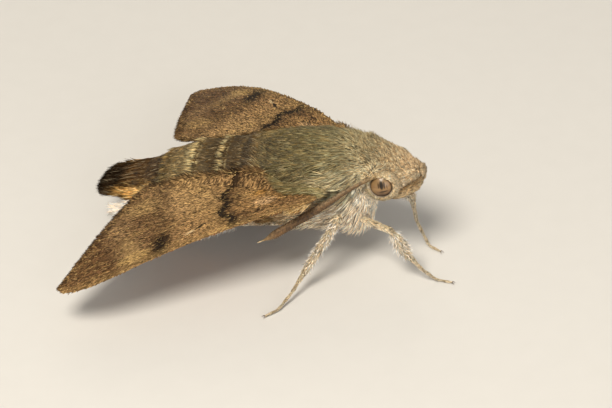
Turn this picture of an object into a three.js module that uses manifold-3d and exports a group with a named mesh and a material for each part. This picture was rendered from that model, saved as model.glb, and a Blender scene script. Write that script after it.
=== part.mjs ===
// Hummingbird hawk moth at rest, life size, as a set of closed solids.
// Millimetres, +Z up, the head towards -Y, the moth's left side at +X.
// Each solid reaches out to the tips of the fur and scales that cover it.

import * as THREE from 'three';
import { mergeVertices } from 'three/addons/utils/BufferGeometryUtils.js';
import Module from 'manifold-3d';

const wasm = await Module();
wasm.setup();

// ---------------------------------------------------------------- driving dimensions

const GAP = 0.1;                 // clearance left wherever two solids meet
const THORAX_HEIGHT = 6.51;      // middle of the thorax above the floor
const PITCH = THREE.MathUtils.degToRad(12.85);   // the head is carried higher than the tail

const TRUNK_SIDES = 28;
const TRUNK_STEP = 0.75;         // spacing of the rings along the body
const KEEL = 1.3;                // above 1 narrows the underside towards a keel

// Places along the body axis, 0 at the middle of the thorax, positive towards the tail.
const NECK = -6.2;
const WAIST = 2.2;
const TAIL_ROOT = 12.4;
const ABDOMEN_RINGS = 4;
const RING_FLARE = 0.09;         // each abdominal ring stands this far over the next

// Body outline: place along the axis, half width, top, bottom.
const TRUNK_OUTLINE = [
  [-10.3, 0.5, 0.15, -0.75],     // brow, between the palps
  [-10.0, 1.0, 0.5, -1.15],
  [-9.3, 1.55, 1.15, -1.75],
  [-8.4, 2.05, 1.85, -2.2],
  [-7.4, 2.4, 2.45, -2.5],       // eyes
  [-6.3, 2.65, 2.95, -2.7],      // neck
  [-5.5, 2.95, 3.3, -4.0],
  [-4.6, 3.35, 3.5, -4.75],      // breast, over the front hips
  [-3.4, 3.8, 3.75, -4.5],
  [-1.8, 4.05, 3.9, -4.2],
  [0.2, 4.1, 3.9, -3.95],        // thorax at its widest
  [2.4, 3.85, 3.7, -3.7],        // waist
  [5, 3.65, 3.5, -3.3],
  [8, 3.5, 3.4, -2.7],
  [10.6, 3.05, 2.65, -1.8],
  [12.4, 2.6, 2.1, -1.0],        // root of the tail brush
  [13.8, 2.6, 1.75, -0.1],
  [15.3, 2.45, 1.6, 0.4],
  [16.1, 2.1, 1.4, 0.6],         // tip of the tail brush
];

const EYE_RADIUS = 1.2;
const EYE_CENTRE = new THREE.Vector3(1.5, -7.55, -0.32);   // left eye, in the body's own frame

const WING_THICKNESS = 0.5;
const FOREWING_LENGTH = 22;      // hinge to tip
const HINDWING_DROP = 0.85;      // hindwing below the forewing that covers it
const WING_HINGE = new THREE.Vector3(3.3, -3.52, 8.17);
const WING_SWEEP = THREE.MathUtils.degToRad(33.6);   // back from straight along the body
const WING_DROOP = THREE.MathUtils.degToRad(12.7);   // tip lower than hinge
const WING_ARCH = 1.1;           // rise of the middle of the wing above a flat one

const TARSUS_RADIUS = 0.25;
const FLOOR_CUT = 40;            // side of the block that trims the feet flat

// ---------------------------------------------------------------- materials

const finish = (color, roughness) => new THREE.MeshStandardMaterial({ color, roughness, metalness: 0 });

const COLOURS = {
  head: 0xa3977c,
  palp: 0xc4b9a2,
  eye: 0x7a5a38,
  antenna: 0x6b5138,
  thorax: 0x7f7c5e,
  abdomen: 0x5f5642,
  abdomenPale: 0x9a8d6c,
  tail: 0x2e231b,
  tuft: 0xe9e4da,
  forewing: 0x847050,
  hindwing: 0xb5632a,
  leg: 0xb8ad97,
};

// ---------------------------------------------------------------- solids and booleans

/** Merge the shared corners of a geometry so that only positions are left. */
function welded(geometry) {
  const bare = geometry.clone();
  bare.deleteAttribute('normal');
  bare.deleteAttribute('uv');
  return mergeVertices(bare, 1e-5);
}

/** A manifold solid from a closed geometry. */
function solidOf(geometry) {
  const closed = welded(geometry);
  const vertProperties = new Float32Array(closed.attributes.position.array);
  const triVerts = new Uint32Array(closed.index.array);
  return new wasm.Manifold(new wasm.Mesh({ numProp: 3, vertProperties, triVerts }));
}

/** The largest single body of a manifold solid, as a geometry. */
function geometryOf(solid) {
  const bodies = solid.decompose();
  bodies.sort((a, b) => b.volume() - a.volume());
  const mesh = bodies[0].getMesh();
  const geometry = new THREE.BufferGeometry();
  geometry.setAttribute('position', new THREE.BufferAttribute(new Float32Array(mesh.vertProperties), 3));
  geometry.setIndex(Array.from(mesh.triVerts));
  return geometry;
}

/** Volume inside a closed skin, negative where its faces point inwards. */
function enclosedVolume(points, triangles) {
  let volume = 0;
  for (let i = 0; i < triangles.length; i += 3) {
    const [a, b, c] = triangles.slice(i, i + 3).map((corner) => points[corner]);
    volume += a.dot(b.clone().cross(c)) / 6;
  }
  return volume;
}

/** A closed skin over rings of equal length, each end closed by a fan. */
function loft(rings) {
  const sides = rings[0].length;
  const points = rings.flat();
  const triangles = [];
  for (let r = 0; r < rings.length - 1; r += 1) {
    for (let k = 0; k < sides; k += 1) {
      const a = r * sides + k;
      const b = r * sides + ((k + 1) % sides);
      triangles.push(a, b, b + sides, a, b + sides, a + sides);
    }
  }
  for (const end of [0, rings.length - 1]) {
    const hub = rings[end].reduce((sum, p) => sum.add(p), new THREE.Vector3()).divideScalar(sides);
    const centre = points.push(hub) - 1;
    for (let k = 0; k < sides; k += 1) {
      const a = end * sides + k;
      const b = end * sides + ((k + 1) % sides);
      triangles.push(centre, end ? a : b, end ? b : a);
    }
  }
  const geometry = new THREE.BufferGeometry().setFromPoints(points);
  geometry.setIndex(enclosedVolume(points, triangles) < 0 ? triangles.reverse() : triangles);
  return geometry;
}

/** A tube of changing radius along a curve; flatness squeezes it from above. */
function taperedTube(curve, radiusAt, steps, sides, flatness = 1) {
  const frames = curve.computeFrenetFrames(steps);
  const rings = [];
  for (let i = 0; i <= steps; i += 1) {
    const centre = curve.getPointAt(i / steps);
    const radius = radiusAt(i / steps);
    const ring = [];
    for (let k = 0; k < sides; k += 1) {
      const turn = (2 * Math.PI * k) / sides;
      const arm = frames.normals[i].clone().multiplyScalar(Math.cos(turn) * radius);
      arm.addScaledVector(frames.binormals[i], Math.sin(turn) * radius);
      arm.z *= flatness;
      ring.push(centre.clone().add(arm));
    }
    rings.push(ring);
  }
  return loft(rings);
}

/** A jointed limb of changing radius through a few points, each end rounded off. */
function limb(points, radii, sides = 8) {
  const lengths = points.map((point, i) => point.clone().sub(points[Math.max(0, i - 1)]));
  const rings = [];
  const last = points.length - 1;
  points.forEach((point, i) => {
    const before = (i ? lengths[i] : lengths[1]).clone().normalize();
    const after = (i < last ? lengths[i + 1] : lengths[last]).clone().normalize();
    const axis = before.add(after).normalize();
    const level = new THREE.Vector3(0, 0, 1).cross(axis).normalize();
    const upright = axis.clone().cross(level);
    const ringAt = (shift, radius) => Array.from({ length: sides }, (_, k) => {
      const turn = (2 * Math.PI * (k + 0.5)) / sides;
      return point.clone().addScaledVector(axis, shift)
        .addScaledVector(level, Math.cos(turn) * radius)
        .addScaledVector(upright, Math.sin(turn) * radius);
    });
    if (i === 0) rings.push(ringAt(-radii[i] * 0.7, radii[i] * 0.6));
    rings.push(ringAt(0, radii[i]));
    if (i === last) rings.push(ringAt(radii[i] * 0.7, radii[i] * 0.6));
  });
  return loft(rings);
}

/** The same place on the moth's other side. */
const onSide = (point, side) => new THREE.Vector3(point.x * side, point.y, point.z);

/** A left-hand geometry turned into its right-hand twin. */
function mirrored(geometry) {
  const twin = geometry.clone();
  twin.scale(-1, 1, 1);
  const corners = twin.index.array;
  for (let i = 0; i < corners.length; i += 3) {
    [corners[i], corners[i + 1]] = [corners[i + 1], corners[i]];
  }
  return twin;
}

// ---------------------------------------------------------------- trunk

const outlineAt = new THREE.CubicInterpolant(
  TRUNK_OUTLINE.map((row) => row[0]),
  TRUNK_OUTLINE.flatMap((row) => row.slice(1)),
  3,
);

/** Half width, half height and middle height of the trunk at a place along the axis. */
function trunkSection(place) {
  const [halfWidth, top, bottom] = outlineAt.evaluate(place);
  return { halfWidth, halfHeight: (top - bottom) / 2, middle: (top + bottom) / 2 };
}

/** One ring of the trunk in the body's own frame, grown outwards by a margin. */
function trunkRing(place, margin = 0) {
  const { halfWidth, halfHeight, middle } = trunkSection(place);
  const ring = [];
  for (let k = 0; k < TRUNK_SIDES; k += 1) {
    const turn = (2 * Math.PI * k) / TRUNK_SIDES;
    const across = Math.cos(turn);
    const up = Math.sin(turn);
    const narrowing = up < 0 ? Math.abs(across) ** ((KEEL - 1) * up * up) : 1;
    ring.push(new THREE.Vector3(
      across * narrowing * (halfWidth + margin),
      place,
      middle + up * (halfHeight + margin),
    ));
  }
  return ring;
}

/** A length of the trunk between two places; flare widens it towards its rear edge. */
function trunkLength(from, to, margin = 0, flare = 0) {
  const steps = Math.max(2, Math.round((to - from) / TRUNK_STEP));
  const rings = [];
  for (let i = 0; i <= steps; i += 1) {
    const along = i / steps;
    rings.push(trunkRing(THREE.MathUtils.lerp(from, to, along), margin + flare * along));
  }
  return loft(rings);
}

const NOSE = TRUNK_OUTLINE[0][0];
const TAIL_TIP = TRUNK_OUTLINE[TRUNK_OUTLINE.length - 1][0];

const bodyFrame = new THREE.Group();
bodyFrame.position.z = THORAX_HEIGHT;
bodyFrame.rotation.x = -PITCH;
bodyFrame.updateMatrixWorld(true);

/** The whole trunk grown by the clearance, in the moth's frame, to trim what meets it. */
const trunkWithClearance = trunkLength(NOSE, TAIL_TIP, GAP + RING_FLARE);
trunkWithClearance.applyMatrix4(bodyFrame.matrixWorld);

/** What is left of a solid outside the trunk. */
const outsideTrunk = (solid) => solid.subtract(solidOf(trunkWithClearance));

// ---------------------------------------------------------------- head

/** Left palp: the blunt, upcurved feeler under the brow. */
function palpGeometry(margin = 0) {
  const curve = new THREE.CatmullRomCurve3([
    new THREE.Vector3(0.8, -7.5, -2.05),
    new THREE.Vector3(0.82, -8.5, -1.8),
    new THREE.Vector3(0.75, -9.3, -1.6),
    new THREE.Vector3(0.64, -9.95, -1.3),
    new THREE.Vector3(0.6, -10.35, -0.95),
  ]);
  const radiusAt = (along) => 0.52 - 0.1 * along ** 6 + margin;
  return taperedTube(curve, radiusAt, 8, 10);
}

function eyeBall(margin = 0) {
  const ball = new THREE.SphereGeometry(EYE_RADIUS + margin, 14, 9);
  ball.rotateZ(Math.PI / 2);
  return ball;
}

function headGeometry() {
  let head = solidOf(trunkLength(NOSE, NECK - GAP));
  for (const side of [1, -1]) {
    const socket = eyeBall(GAP);
    const centre = onSide(EYE_CENTRE, side);
    socket.translate(centre.x, centre.y, centre.z);
    const palp = palpGeometry(GAP);
    head = head.subtract(solidOf(socket));
    head = head.subtract(solidOf(side > 0 ? palp : mirrored(welded(palp))));
  }
  return geometryOf(head);
}

/** Left antenna: thickens to a club and ends in a fine hook, laid back along the flank. */
function antennaGeometry() {
  const curve = new THREE.CatmullRomCurve3([
    new THREE.Vector3(2.42, -6.8, 8.9),
    new THREE.Vector3(3.42, -5.45, 8.2),
    new THREE.Vector3(4.3, -4.15, 7.48),
    new THREE.Vector3(4.9, -2.85, 6.64),
    new THREE.Vector3(5.65, -0.85, 5.35),
    new THREE.Vector3(6.1, 0.5, 4.5),
    new THREE.Vector3(6.3, 1.15, 4.2),
  ]);
  const radiusAt = (along) => 0.23 + 0.13 * Math.sin(Math.PI * Math.min(1, along * 1.05)) ** 2;
  return geometryOf(outsideTrunk(solidOf(taperedTube(curve, radiusAt, 16, 8))));
}

// ---------------------------------------------------------------- wings

const spanDirection = new THREE.Vector3(
  Math.sin(WING_SWEEP) * Math.cos(WING_DROOP),
  Math.cos(WING_SWEEP) * Math.cos(WING_DROOP),
  -Math.sin(WING_DROOP),
);
const chordDirection = new THREE.Vector3(-Math.cos(WING_SWEEP), Math.sin(WING_SWEEP), 0);

/** Height that lays the wing over the flank of the abdomen instead of through it. */
function liftOverBody(point) {
  const local = bodyFrame.worldToLocal(point.clone());
  const section = trunkSection(THREE.MathUtils.clamp(local.y, NOSE, TAIL_TIP));
  const reach = WING_THICKNESS / 2 + GAP * 2 + RING_FLARE;
  const across = Math.min(1, Math.abs(local.x) / (section.halfWidth + reach));
  const flank = section.middle + (section.halfHeight + reach) * Math.sqrt(1 - across * across);
  const rise = flank - local.z;
  const overBody = THREE.MathUtils.smoothstep(1 - across, 0, 0.1);
  return overBody * 0.5 * (rise + Math.sqrt(rise * rise + 0.06));
}

/** Middle surface of the left wing, span and chord measured from the hinge. */
function wingPoint(span, chord, drop = 0) {
  const point = WING_HINGE.clone();
  point.addScaledVector(spanDirection, span);
  point.addScaledVector(chordDirection, chord);
  const archAlong = Math.sin(Math.PI * (Math.max(0, span) / (FOREWING_LENGTH * 1.07)) ** 1.15);
  const archAcross = 1 - 0.05 * (chord + 2);
  point.z += WING_ARCH * archAlong * archAcross - drop;
  const laid = THREE.MathUtils.smoothstep(span, 2.5, 5.5);
  if (drop === 0) point.z += laid * liftOverBody(point);
  return point;
}

/** Leading edge: leaves the shoulder in a curve, runs gently bowed and rounds into the tip. */
function forewingLead(span) {
  const along = span / FOREWING_LENGTH;
  const shoulder = 1 - 0.6 * Math.exp(-span / 0.9);
  return -(1.6 + 0.65 * along) * shoulder * (1 - along ** 10) ** (1 / 1.8);
}

/** Trailing edge: along the body to a rounded rear corner, then out to the tip. */
function forewingTrail(span) {
  const besideBody = 0.2 + 0.655 * span;
  const outerMargin = 0.86 * (FOREWING_LENGTH - span);
  const meet = outerMargin - besideBody;
  return 0.5 * (besideBody + outerMargin - Math.sqrt(meet * meet + 0.5));
}

/** Hindwing edges: a rounded triangle well inside the forewing's outline. */
const HINDWING_FROM = 2;
const HINDWING_TO = 13.4;
const hindwingAlong = (span) => (span - HINDWING_FROM) / (HINDWING_TO - HINDWING_FROM);

function hindwingLead(span) {
  return 1.1 + 0.12 * span - 0.7 * Math.sin(Math.PI * hindwingAlong(span) * 0.88);
}

function hindwingTrail(span) {
  const bulge = Math.max(0, Math.sin(Math.PI * hindwingAlong(span) ** 0.85));
  return 1.1 + 0.12 * span + 5.6 * bulge ** 0.7;
}

/** A curved plate between two edges, as thick as a wing. */
function wingPlate(spans, leadAt, trailAt, chordSteps, drop) {
  const rings = spans.map((span) => {
    const lead = leadAt(span);
    const trail = Math.max(trailAt(span), lead + 0.25);
    const above = [];
    const below = [];
    for (let j = 0; j <= chordSteps; j += 1) {
      const chord = THREE.MathUtils.lerp(lead, trail, j / chordSteps);
      const point = wingPoint(span, chord, drop);
      const alongSpan = wingPoint(span + 0.05, chord, drop).sub(point);
      const alongChord = wingPoint(span, chord + 0.05, drop).sub(point);
      const normal = alongChord.cross(alongSpan).normalize();
      if (normal.z < 0) normal.negate();
      above.push(point.clone().addScaledVector(normal, WING_THICKNESS / 2));
      below.push(point.clone().addScaledVector(normal, -WING_THICKNESS / 2));
    }
    return [...above, ...below.reverse()];
  });
  return loft(rings);
}

const evenly = (from, to, count) => (
  Array.from({ length: count + 1 }, (_, i) => THREE.MathUtils.lerp(from, to, i / count))
);

function forewingGeometry() {
  const plate = wingPlate(evenly(0, FOREWING_LENGTH, 18), forewingLead, forewingTrail, 10, 0);
  return geometryOf(outsideTrunk(solidOf(plate)));
}

function hindwingGeometry() {
  const spans = evenly(HINDWING_FROM, HINDWING_TO, 12);
  const plate = wingPlate(spans, hindwingLead, hindwingTrail, 8, HINDWING_DROP);
  return geometryOf(outsideTrunk(solidOf(plate)));
}

// ---------------------------------------------------------------- legs

// Joints from hip to claw, then the radius at each; the last stretch lies on the floor.
const LEGS = {
  foreleg_right: {
    joints: [[-1.7, -5.3, 4.55], [-2.6, -8.24, 4.28], [-2.8, -9.72, 2.3], [-2.75, -10.8, 1.14],
      [-2.4, -11.8, 0.18], [-2.5, -13.0, 0.18]],
    radii: [0.42, 0.5, 0.34],
  },
  foreleg_left: {
    joints: [[1.7, -5.3, 4.55], [2.9, -7.6, 5.4], [2.5, -8.66, 4.2], [2.5, -9.0, 2.1],
      [2.1, -10.1, 0.18], [1.55, -11.1, 0.18]],
    radii: [0.42, 0.5, 0.34],
  },
  midleg_right: {
    joints: [[-2.2, -1.8, 3.7], [-3.8, -4.59, 5.66], [-6.0, -2.23, 1.67], [-7.5, -1.68, 0.76],
      [-9.2, -1.05, 0.18], [-10.2, -0.35, 0.18]],
    radii: [0.52, 0.48, 0.32],
  },
  midleg_left: {
    joints: [[2.2, -1.8, 3.7], [3.8, -4.59, 5.66], [6.0, -2.23, 1.67], [7.5, -1.68, 0.76],
      [9.2, -1.05, 0.18], [10.2, -0.35, 0.18]],
    radii: [0.52, 0.48, 0.32],
  },
  hindleg_right: {
    joints: [[-1.7, 1.0, 3.2], [-3.1, 3.9, 3.6], [-3.1, 7.4, 1.7], [-2.8, 9.0, 0.7],
      [-2.5, 10.2, 0.18], [-2.4, 11.4, 0.18]],
    radii: [0.52, 0.46, 0.32],
  },
  hindleg_left: {
    joints: [[1.7, 1.0, 3.2], [3.1, 3.9, 3.6], [3.1, 7.4, 1.7], [2.8, 9.0, 0.7],
      [2.5, 10.2, 0.18], [2.4, 11.4, 0.18]],
    radii: [0.52, 0.46, 0.32],
  },
};

function legGeometry({ joints, radii }) {
  const points = joints.map((joint) => new THREE.Vector3(...joint));
  const radiusAt = points.map((_, i) => radii[i] ?? TARSUS_RADIUS);
  const thigh = limb(points.slice(0, 2), radiusAt.slice(0, 2));
  const shin = limb(points.slice(1), radiusAt.slice(1));
  const underfloor = new THREE.BoxGeometry(FLOOR_CUT, FLOOR_CUT, FLOOR_CUT);
  underfloor.translate(0, 0, -FLOOR_CUT / 2);
  const leg = solidOf(thigh).add(solidOf(shin));
  return geometryOf(outsideTrunk(leg).subtract(solidOf(underfloor)));
}

// ---------------------------------------------------------------- tail tufts

/** Left side tuft: the white scales that stand out beside the tail brush. */
function sideTuftGeometry() {
  const curve = new THREE.CatmullRomCurve3([
    new THREE.Vector3(2.4, 11.6, 0.1),
    new THREE.Vector3(2.9, 12.6, 0.2),
    new THREE.Vector3(3.15, 13.5, 0.3),
    new THREE.Vector3(3.2, 14.3, 0.4),
  ]);
  const radiusAt = (along) => 0.75 * (1 - 0.6 * along);
  const tuft = taperedTube(curve, radiusAt, 6, 10, 0.75).applyMatrix4(bodyFrame.matrixWorld);
  return geometryOf(outsideTrunk(solidOf(tuft)));
}

// ---------------------------------------------------------------- the moth

const moth = new THREE.Group();
moth.add(bodyFrame);

function addNode(parent, name, geometry, material) {
  const mesh = new THREE.Mesh(geometry, material);
  mesh.name = name;
  parent.add(mesh);
  return mesh;
}

/** Add the left-hand piece and its mirrored right-hand twin. */
function addPair(parent, name, geometry, color, roughness) {
  const left = welded(geometry);
  addNode(parent, `${name}_left`, left, finish(color, roughness));
  addNode(parent, `${name}_right`, mirrored(left), finish(color, roughness));
}

addNode(bodyFrame, 'head', headGeometry(), finish(COLOURS.head, 0.9));
addPair(bodyFrame, 'palp', palpGeometry(), COLOURS.palp, 0.9);
for (const [name, side] of [['eye_left', 1], ['eye_right', -1]]) {
  addNode(bodyFrame, name, eyeBall(), finish(COLOURS.eye, 0.25)).position.copy(onSide(EYE_CENTRE, side));
}

addNode(bodyFrame, 'thorax', trunkLength(NECK, WAIST - GAP), finish(COLOURS.thorax, 0.9));
for (let ring = 0; ring < ABDOMEN_RINGS; ring += 1) {
  const length = (TAIL_ROOT - WAIST) / ABDOMEN_RINGS;
  const start = WAIST + ring * length;
  const color = ring % 2 ? COLOURS.abdomenPale : COLOURS.abdomen;
  const geometry = trunkLength(start, start + length - GAP, 0, RING_FLARE);
  addNode(bodyFrame, `abdomen_ring_${ring + 1}`, geometry, finish(color, 0.9));
}
addNode(bodyFrame, 'tail_brush', trunkLength(TAIL_ROOT, TAIL_TIP), finish(COLOURS.tail, 0.9));

addPair(moth, 'tail_tuft', sideTuftGeometry(), COLOURS.tuft, 0.95);
addPair(moth, 'antenna', antennaGeometry(), COLOURS.antenna, 0.7);
addPair(moth, 'forewing', forewingGeometry(), COLOURS.forewing, 0.85);
addPair(moth, 'hindwing', hindwingGeometry(), COLOURS.hindwing, 0.85);
for (const [name, leg] of Object.entries(LEGS)) {
  addNode(moth, name, legGeometry(leg), finish(COLOURS.leg, 0.9));
}

// The origin is the middle of the moth's footprint, on the floor.
moth.updateMatrixWorld(true);
const extent = new THREE.Box3().setFromObject(moth, true);
const centre = extent.getCenter(new THREE.Vector3());
moth.position.set(-centre.x, -centre.y, -extent.min.z);

export default moth;
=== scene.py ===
"""Hummingbird hawk moth at rest, life size: skin, eyes, feelers, wings and a coat of solid tufts.

Lengths in the geometry code are millimetres in the frame's axes (head towards -Y, +Z up);
new_piece() turns them into metres.
"""

import functools
import math

import bpy
import numpy as np
from mathutils import Matrix, Vector


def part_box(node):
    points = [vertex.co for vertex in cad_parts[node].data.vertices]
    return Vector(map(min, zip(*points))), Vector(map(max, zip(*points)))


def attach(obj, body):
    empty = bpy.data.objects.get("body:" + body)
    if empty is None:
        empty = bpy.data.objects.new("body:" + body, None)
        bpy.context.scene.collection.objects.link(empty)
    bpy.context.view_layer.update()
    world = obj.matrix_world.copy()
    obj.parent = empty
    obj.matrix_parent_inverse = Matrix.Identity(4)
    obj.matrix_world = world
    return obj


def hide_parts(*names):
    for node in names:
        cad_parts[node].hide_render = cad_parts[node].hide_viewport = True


bl_info = {
    "name": "Hawk Moth Model",
    "version": (1, 0, 0),
    "blender": (4, 5, 0),
    "location": "3D Viewport > Sidebar > Hawk Moth",
    "description": "Builds a life-size hummingbird hawk moth around its packed solids",
    "category": "Object",
}

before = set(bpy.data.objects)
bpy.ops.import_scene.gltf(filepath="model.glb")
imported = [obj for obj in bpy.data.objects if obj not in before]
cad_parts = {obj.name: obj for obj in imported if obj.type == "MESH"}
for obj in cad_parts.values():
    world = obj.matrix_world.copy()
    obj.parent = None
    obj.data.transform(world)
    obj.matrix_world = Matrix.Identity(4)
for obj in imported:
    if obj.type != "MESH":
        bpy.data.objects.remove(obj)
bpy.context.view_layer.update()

MM = 0.001
SEED = 4127
SIDES = ((1, "left"), (-1, "right"))

# ---- sizes shared with the solids

THORAX_HEIGHT = 6.51
PITCH = math.radians(12.85)
KEEL = 1.3
NOSE, NECK, WAIST, TAIL_ROOT, TAIL_TIP = -10.3, -6.2, 2.2, 12.4, 16.1
ABDOMEN_RINGS = 4
RING_LENGTH = (TAIL_ROOT - WAIST) / ABDOMEN_RINGS
RING_FLARE = 0.12

# Body outline: place along the axis, half width, top, bottom.
TRUNK_OUTLINE = np.array([
    [-10.3, 0.5, 0.15, -0.75],
    [-10.0, 1.0, 0.5, -1.15],
    [-9.3, 1.55, 1.15, -1.75],
    [-8.4, 2.05, 1.85, -2.2],
    [-7.4, 2.4, 2.45, -2.5],
    [-6.3, 2.65, 2.95, -2.7],
    [-5.5, 2.95, 3.3, -4.0],
    [-4.6, 3.35, 3.5, -4.75],
    [-3.4, 3.8, 3.75, -4.5],
    [-1.8, 4.05, 3.9, -4.2],
    [0.2, 4.1, 3.9, -3.95],
    [2.4, 3.85, 3.7, -3.7],
    [5.0, 3.65, 3.5, -3.3],
    [8.0, 3.5, 3.4, -2.7],
    [10.6, 3.05, 2.65, -1.8],
    [12.4, 2.6, 2.1, -1.0],
    [13.8, 2.6, 1.75, -0.1],
    [15.3, 2.45, 1.6, 0.4],
    [16.1, 2.1, 1.4, 0.6],
])

# How deep the coat is: place along the axis, distance from the tips of the coat to the skin.
COAT_DEPTH = np.array([
    [-10.3, 0.2], [-9.5, 0.4], [-8.5, 0.36], [-7.5, 0.34], [-6.3, 0.36], [-4.5, 0.38], [1.6, 0.38],
    [2.5, 0.2], [11.0, 0.2], [12.4, 0.18], [14.0, 0.34], [16.1, 0.42],
])

EYE_RADIUS = 1.2
EYE_SHAPE = np.array([0.98, 1.0, 0.97])    # a little less across and up than along the head
EYE_CENTRE = np.array([1.5, -7.55, -0.32])
EYE_AXIS = np.array([0.976, -0.12, 0.14])
ORBIT_RADIUS = 0.88              # rim round the eye
BROW_DEPTH = 0.03                # how far the brow comes down over the eye
BROW_TURN = math.radians(62)     # where the brow is lowest, from straight ahead

PALP_PATH = [
    (1.32, -7.8, -1.54), (1.22, -8.5, -1.5), (0.94, -9.3, -1.4), (0.56, -9.85, -1.17), (0.3, -10.12, -0.94),
]
TUFT_PATH = [(2.25, 11.5, 0.0), (2.75, 12.5, -0.05), (3.05, 13.4, -0.05), (3.15, 14.2, 0.0)]
ANTENNA_PATH = [
    (2.3, -7.0, 8.8), (3.42, -5.45, 8.2), (4.3, -4.15, 7.48), (4.9, -2.85, 6.64),
    (5.65, -0.85, 5.35), (6.1, 0.5, 4.5), (6.3, 1.15, 4.2),
]

FEELER_RINGS = 60

WING_HINGE = np.array([3.3, -3.52, 8.17])
WING_SWEEP = math.radians(33.6)
WING_DROOP = math.radians(12.7)
WING_ARCH = 1.1
WING_CLEARANCE = 0.36            # middle of the wing above the flank it lies on
# Each wing's own turn outwards, share of its length, droop of its tip and of its root, left and right.
WING_POSE = {1: (math.radians(2.0), 0.99, 0.45, 0.7), -1: (0.0, 1.0, 0.0, 0.0)}
FOREWING_LENGTH = 22.0
HINDWING_FROM, HINDWING_TO, HINDWING_DROP = 2.0, 13.4, 0.85
# Leg joints from hip to claw: hip, knee, ankle, and three places on the foot.
LEGS = {
    "foreleg_right": [(-1.7, -5.3, 4.55), (-2.6, -8.24, 4.28), (-2.8, -9.72, 2.3),
                      (-2.75, -10.8, 1.14), (-2.4, -11.8, 0.18), (-2.5, -13.0, 0.18)],
    "foreleg_left": [(1.7, -5.3, 4.55), (2.9, -7.6, 5.4), (2.5, -8.66, 4.2),
                     (2.5, -9.0, 2.1), (2.1, -10.1, 0.18), (1.55, -11.1, 0.18)],
    "midleg_right": [(-2.2, -1.8, 3.7), (-3.8, -4.59, 5.66), (-6.0, -2.23, 1.67),
                     (-7.5, -1.68, 0.76), (-9.2, -1.05, 0.18), (-10.2, -0.35, 0.18)],
    "hindleg_right": [(-1.7, 1.0, 3.2), (-3.1, 3.9, 3.6), (-3.1, 7.4, 1.7),
                      (-2.8, 9.0, 0.7), (-2.5, 10.2, 0.18), (-2.4, 11.4, 0.18)],
}
for twin in ("midleg", "hindleg"):
    LEGS[twin + "_left"] = [(-x, y, z) for x, y, z in LEGS[twin + "_right"]]
LEG_RADII = {
    "foreleg": (0.34, 0.34, 0.31, 0.21, 0.17, 0.12),
    "midleg": (0.38, 0.34, 0.25, 0.2, 0.17, 0.12),
    "hindleg": (0.42, 0.36, 0.25, 0.2, 0.17, 0.12),
}
SHANK_SWELL = {"foreleg": 0.27, "midleg": 0.1, "hindleg": 0.04}
LEG_SKIN_SHARE = 0.7             # skin's share of a leg's radius, the rest is coat

# How far the hair of the shoulder reaches over the wing root: chord, span.
SHOULDER_EDGE = np.array([
    [-1.7, 0.9], [-0.8, 1.3], [-0.3, 1.95], [0.0, 2.65], [0.55, 3.3], [1.3, 3.6], [1.9, 3.9], [3.0, 3.9],
    [4.2, 3.6],
])

FLESH = ["head", "palp_left", "palp_right", "thorax", "tail_brush", "tail_tuft_left", "tail_tuft_right"]
FLESH += [f"abdomen_ring_{ring + 1}" for ring in range(ABDOMEN_RINGS)]
FLESH += list(LEGS)

# What a root on the skin grows on, written into the Z of its "place".
ON_TRUNK, ON_LEG, ON_PALP, ON_TUFT = 0.0, 1.0, 2.0, 3.0

# Full number of tufts in each part of the coat; those of limbs, wings and sides are for one of them.
TUFT_COUNTS = {
    "head": 17500, "face": 1500, "eye rim": 2900, "throat": 2100, "cheek": 500, "palp": 3600,
    "thorax back": 25500, "thorax flanks": 16000, "shoulder": 3200, "shoulder pad": 4200,
    "shoulder cover": 800, "golden edge": 360, "breast": 6500, "abdomen": 26000, "tail brush": 12000,
    "tail tuft": 2200, "leg scales": 3300, "shank fringe": 700, "shank bristles": 300,
    "thigh fringe": 550, "scales above": 17500, "scales below": 4000, "wing fringe": 4400,
}
HEAD_END = -5.9                  # where the hair of the head ends, along the body axis
SKIN_END = 15.4                  # where the skin ends, under the tips of the tail brush
ROOT_DEPTH = 0.03                # roots start this deep in the skin
FLOOR_GAP = 0.012                # no tuft comes closer to the floor
UV_MARGIN = 0.004                # bare edge of every unwrap
UV_REACH = 0.0014                # half the patch that one tuft takes in the unwrap
HALF_STRIP = {1: (0.0, 0.5), -1: (0.5, 1.0)}    # each side's share of an unwrap


# ---- small maths

def unit(vectors):
    return vectors / np.maximum(np.linalg.norm(vectors, axis=-1, keepdims=True), 1e-12)


def smoothstep(value, low, high):
    share = np.clip((value - low) / (high - low), 0, 1)
    return share * share * (3 - 2 * share)


def across_sides(points, side):
    """The same points on the moth's left (side 1) or right (side -1)."""
    return np.asarray(points, float) * np.array([side, 1, 1])


def body_to_moth(points):
    """From the body's own frame, along its pitched axis, to the upright frame of the legs and wings."""
    x, y, z = np.moveaxis(np.asarray(points, float), -1, 0)
    along = y * math.cos(PITCH) + z * math.sin(PITCH)
    high = THORAX_HEIGHT - y * math.sin(PITCH) + z * math.cos(PITCH)
    return np.stack([x, along, high], -1)


def moth_to_body(points):
    x, y, z = np.moveaxis(np.asarray(points, float), -1, 0)
    z = z - THORAX_HEIGHT
    along = y * math.cos(PITCH) - z * math.sin(PITCH)
    high = y * math.sin(PITCH) + z * math.cos(PITCH)
    return np.stack([x, along, high], -1)


def way_to_moth(way):
    """A way in the body's own frame, turned to the upright one."""
    return body_to_moth(np.asarray(way, float)) - body_to_moth(np.zeros(3))


def triples(x, y, z):
    """Three numbers or rows of numbers as one row of triples."""
    return np.stack(np.broadcast_arrays(x, y, z), -1)


def frame_offset():
    """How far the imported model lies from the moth's own origin, read from the left eye."""
    low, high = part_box("eye_left")
    return np.array((low + high) / 2) / MM - body_to_moth(EYE_CENTRE)


OFFSET = frame_offset()


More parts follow.
